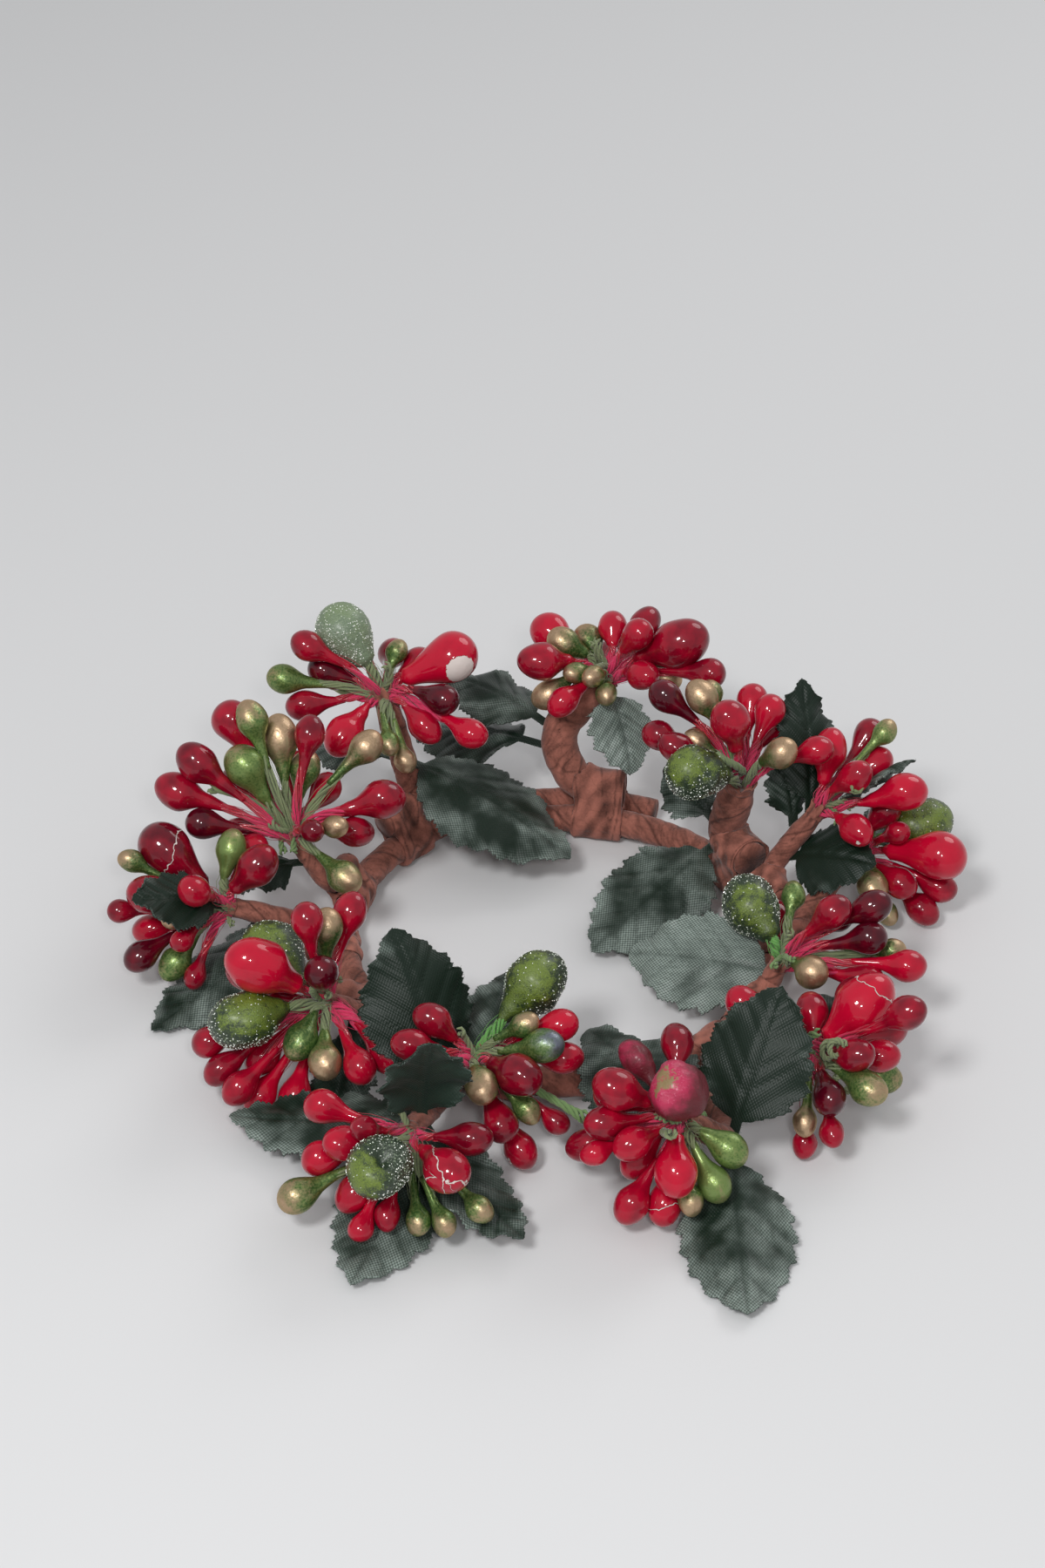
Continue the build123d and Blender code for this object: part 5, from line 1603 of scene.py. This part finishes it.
def fringe_tree():
    """Loose threads that stand out along a leaf's cut edge."""
    tree = Tree("cut edge", {"Fringe": ("Float", 0.4 * MM), "Spacing": ("Float", 0.3 * MM),
                             "Seed": ("Int", 5), "Material": ("Material", None)})
    given = tree.given.outputs
    line = tree.node("GeometryNodeMeshToCurve", None, {"Mesh": given["Geometry"]})
    spots = tree.node("GeometryNodeResampleCurve", {"mode": "LENGTH"},
                      {"Curve": line.outputs[0], "Length": given["Spacing"]})
    hair = tree.node("GeometryNodeMeshCone", {"fill_type": "TRIANGLE_FAN"},
                     {"Vertices": 3, "Side Segments": 1, "Radius Top": 0.016 * MM,
                      "Radius Bottom": 0.045 * MM, "Depth": given["Fringe"]})
    out = tree.node("GeometryNodeInputNamedAttribute", {"data_type": "FLOAT_VECTOR"}, {"Name": "outward"})
    way = tree.node("ShaderNodeVectorMath", {"operation": "ADD"},
                    {0: out.outputs[0], 1: tree.random(-0.7, 0.7)})
    turn = tree.node("FunctionNodeAlignRotationToVector", {"axis": "Z"}, {"Vector": way.outputs[0]})
    size = tree.node("FunctionNodeRandomValue", {"data_type": "FLOAT"},
                     {2: 0.25, 3: 1.0, "Seed": given["Seed"]})
    laid = tree.node("GeometryNodeInstanceOnPoints", None,
                     {"Points": spots.outputs[0], "Instance": hair.outputs["Mesh"],
                      "Rotation": turn.outputs[0], "Scale": size.outputs[1]})
    tree.finish(laid.outputs[0])
    return tree


def fringe_finish(leaves):
    """Plain thread, between the cloth's two colours."""
    paint = Finish("leaf_edge_thread")
    base = paint.mix(leaves.deep, leaves.worn, paint.noise(1.2 * MM, 1))
    return paint.surface(base_color=base, roughness=0.7)


def read_leaves(sprays):
    """Every leaf's place, with how pale the photograph shows it."""
    places = []
    for spray in sprays:
        for number, part in enumerate(loose_parts(spray.name + "_leaves")):
            place = LeafPlace(*part, spray)
            place.name, place.pale = (spray.name + "_leaves", number), USUAL_LEAF
            places.append(place)
    middles = np.array([p.at((p.base + p.tip) / 2) for p in places])
    for spots, pale in LEAF_LOOKS:
        for x, y in spots:
            nearest_to_pixel(places, middles, x, y).pale = pale
    return places


def make_leaves(scene):
    """Each spray's leaves, and the loose threads along all their cut edges."""
    leaves = scene.candle_ring_leaves
    finish, hairs = leaf_finish(leaves), fringe_finish(leaves)
    tree = fringe_tree()
    sprays = read_model()["sprays"]
    places = read_leaves(sprays)
    edges, ways, lines, count = [], [], [], 0
    for spray in sprays:
        node = spray.name + "_leaves"
        skin = Skin()
        for place in (p for p in places if p.name[0] == node):
            outline, outward = press_leaf(skin, place, leaves, random_for(*place.name))
            lines += [(i, i + 1) for i in range(count, count + len(outline) - 1)]
            count += len(outline)
            edges.append(outline)
            ways.append(outward)
        hand_over(skin.piece(node + "_cloth", finish), "leaf_fabric", node)
    mesh = bpy.data.meshes.new("leaf_edges")
    mesh.from_pydata(np.concatenate(edges).tolist(), lines, [])
    outward = mesh.attributes.new("outward", "FLOAT_VECTOR", "POINT")
    outward.data.foreach_set("vector", np.concatenate(ways).astype(np.float32).ravel())
    base = bpy.data.objects.new("leaf_edges", mesh)
    bpy.context.scene.collection.objects.link(base)
    fringe = tree.apply(base, "leaf_fringe", {"Fringe": leaves.fringe, "Spacing": 0.34 * MM, "Seed": 9,
                                              "Material": hairs})
    bpy.data.objects.remove(base)
    hand_over(fringe, "leaf_fabric")


# The wires, and the stage


def make_wires(scene):
    """Drawn steel on the frame's own wires."""
    paint = Finish("drawn_steel")
    streak = paint.noise(0.4 * MM, 3)
    base = paint.mix((0.20, 0.19, 0.19), (0.46, 0.45, 0.44), streak)
    steel = paint.surface(base_color=base, metallic=1.0, roughness=0.3 + streak * 0.25,
                          normal=paint.bump(streak, 0.02 * MM))
    for node in ("ring_core_wire", "stem_wires"):
        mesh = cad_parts[node].data
        mesh.materials.clear()
        mesh.materials.append(steel)


def lamp(name, place, target, size, power):
    """A round lamp that points at a target."""
    light = bpy.data.lights.new(name, "AREA")
    light.shape, light.size, light.energy = "DISK", size, power
    thing = bpy.data.objects.new(name, light)
    thing.location = place
    way = np.array(target) - np.array(place)
    flat = math.hypot(way[0], way[1])
    thing.rotation_euler = (math.atan2(flat, -way[2]), 0, math.atan2(-way[0], way[1]))
    bpy.context.scene.collection.objects.link(thing)


def make_stage(scene):
    """The floor, the light and the camera."""
    stage = scene.candle_ring_stage
    floor_finish = Finish("floor").surface(base_color=stage.floor, roughness=0.9, specular_ior_level=0.1)
    mesh = bpy.data.meshes.new("floor")
    corners = [(FLOOR_REACH * x, FLOOR_REACH * y, 0) for x, y in ((-1, -1), (1, -1), (1, 1), (-1, 1))]
    mesh.from_pydata(corners, [], [(0, 1, 2, 3)])
    mesh.materials.append(floor_finish)
    floor = bpy.data.objects.new("floor", mesh)
    scene.collection.objects.link(floor)

    world = bpy.data.worlds.new("soft light")
    scene.world = world
    world.use_nodes = True
    back = world.node_tree.nodes["Background"]
    back.inputs["Color"].default_value = (0.98, 0.99, 1.0, 1.0)
    back.inputs["Strength"].default_value = stage.soft_light
    for name, place, size, share in LAMPS:
        lamp(name, place, LAMP_TARGET, size, stage.key_light * share)

    camera = bpy.data.cameras.new("photo camera")
    camera.lens, camera.sensor_width, camera.sensor_fit = CAMERA_LENS, CAMERA_SENSOR, "AUTO"
    camera.clip_start, camera.clip_end = 0.01, 20
    thing = bpy.data.objects.new("photo camera", camera)
    thing.location = CAMERA_PLACE
    thing.rotation_euler = (math.radians(90 - CAMERA_PITCH), 0, 0)
    scene.collection.objects.link(thing)
    scene.camera = thing
    scene.view_settings.view_transform = "Standard"


# Operators: one for each group of pieces, in the order in which they are made


class CANDLE_RING_OT_tape(bpy.types.Operator):
    """Winds paper tape round the ring, the stems and the bindings"""
    bl_idname = "candle_ring.tape"
    bl_label = "Wind the tape"

    def execute(self, context):
        MODEL["paper"] = paper_finish(context.scene.candle_ring_tape)
        make_ring_tape(context.scene)
        make_stem_tapes(context.scene)
        make_bindings(context.scene)
        return {"FINISHED"}


class CANDLE_RING_OT_threads(bpy.types.Operator):
    """Twists each pip's thread from the stem's mouth to its bead"""
    bl_idname = "candle_ring.threads"
    bl_label = "Twist the threads"

    def execute(self, context):
        make_threads(context.scene)
        return {"FINISHED"}


class CANDLE_RING_OT_thread_ends(bpy.types.Operator):
    """Lays the curled and cut ends of thread round the knots"""
    bl_idname = "candle_ring.thread_ends"
    bl_label = "Lay the thread ends"

    def execute(self, context):
        make_trims(context.scene)
        return {"FINISHED"}


class CANDLE_RING_OT_red_beads(bpy.types.Operator):
    """Makes the red lacquered beads"""
    bl_idname = "candle_ring.red_beads"
    bl_label = "Make the red beads"

    def execute(self, context):
        make_red_beads(context.scene)
        return {"FINISHED"}


class CANDLE_RING_OT_green_beads(bpy.types.Operator):
    """Makes the green pearl beads with their gold ends"""
    bl_idname = "candle_ring.green_beads"
    bl_label = "Make the green beads"

    def execute(self, context):
        make_green_beads(context.scene)
        return {"FINISHED"}


class CANDLE_RING_OT_sugared_beads(bpy.types.Operator):
    """Makes the green beads that are rolled in glitter grains"""
    bl_idname = "candle_ring.sugared_beads"
    bl_label = "Make the sugared beads"

    def execute(self, context):
        make_sugared_beads(context.scene)
        return {"FINISHED"}


class CANDLE_RING_OT_pink_beads(bpy.types.Operator):
    """Makes the matt pink beads"""
    bl_idname = "candle_ring.pink_beads"
    bl_label = "Make the pink beads"

    def execute(self, context):
        make_pink_beads(context.scene)
        return {"FINISHED"}


class CANDLE_RING_OT_leaves(bpy.types.Operator):
    """Presses the fabric leaves and frays their edges"""
    bl_idname = "candle_ring.leaves"
    bl_label = "Press the leaves"

    def execute(self, context):
        make_leaves(context.scene)
        return {"FINISHED"}


class CANDLE_RING_OT_wires(bpy.types.Operator):
    """Gives the wires inside the tape their steel"""
    bl_idname = "candle_ring.wires"
    bl_label = "Finish the wires"

    def execute(self, context):
        make_wires(context.scene)
        return {"FINISHED"}


class CANDLE_RING_OT_stage(bpy.types.Operator):
    """Sets the plain floor, the soft light and the photograph's camera"""
    bl_idname = "candle_ring.stage"
    bl_label = "Set the stage"

    def execute(self, context):
        make_stage(context.scene)
        return {"FINISHED"}


OPERATORS = (CANDLE_RING_OT_stage, CANDLE_RING_OT_tape, CANDLE_RING_OT_threads,
             CANDLE_RING_OT_thread_ends, CANDLE_RING_OT_red_beads, CANDLE_RING_OT_green_beads,
             CANDLE_RING_OT_sugared_beads, CANDLE_RING_OT_pink_beads, CANDLE_RING_OT_leaves,
             CANDLE_RING_OT_wires)


class CANDLE_RING_PT_panel(bpy.types.Panel):
    """The candle ring's settings and steps"""
    bl_idname = "CANDLE_RING_PT_panel"
    bl_label = "Candle ring"
    bl_space_type = "VIEW_3D"
    bl_region_type = "UI"
    bl_category = "Candle ring"

    def draw(self, context):
        for key, group in SETTINGS.items():
            box = self.layout.box()
            box.label(text=group.__name__.removeprefix("CandleRing").removesuffix("Settings"))
            for name in group.__annotations__:
                box.prop(getattr(context.scene, key), name)
        for operator in OPERATORS:
            self.layout.operator(operator.bl_idname)


CLASSES = (*SETTINGS.values(), *OPERATORS, CANDLE_RING_PT_panel)


def register():
    for cls in CLASSES:
        bpy.utils.register_class(cls)
    for key, group in SETTINGS.items():
        setattr(bpy.types.Scene, key, PointerProperty(type=group))


def unregister():
    for key in SETTINGS:
        delattr(bpy.types.Scene, key)
    for cls in reversed(CLASSES):
        bpy.utils.unregister_class(cls)


def main():
    register()
    for operator in OPERATORS:
        group, name = operator.bl_idname.split(".")
        getattr(getattr(bpy.ops, group), name)()


if __name__ == "__main__":
    main()
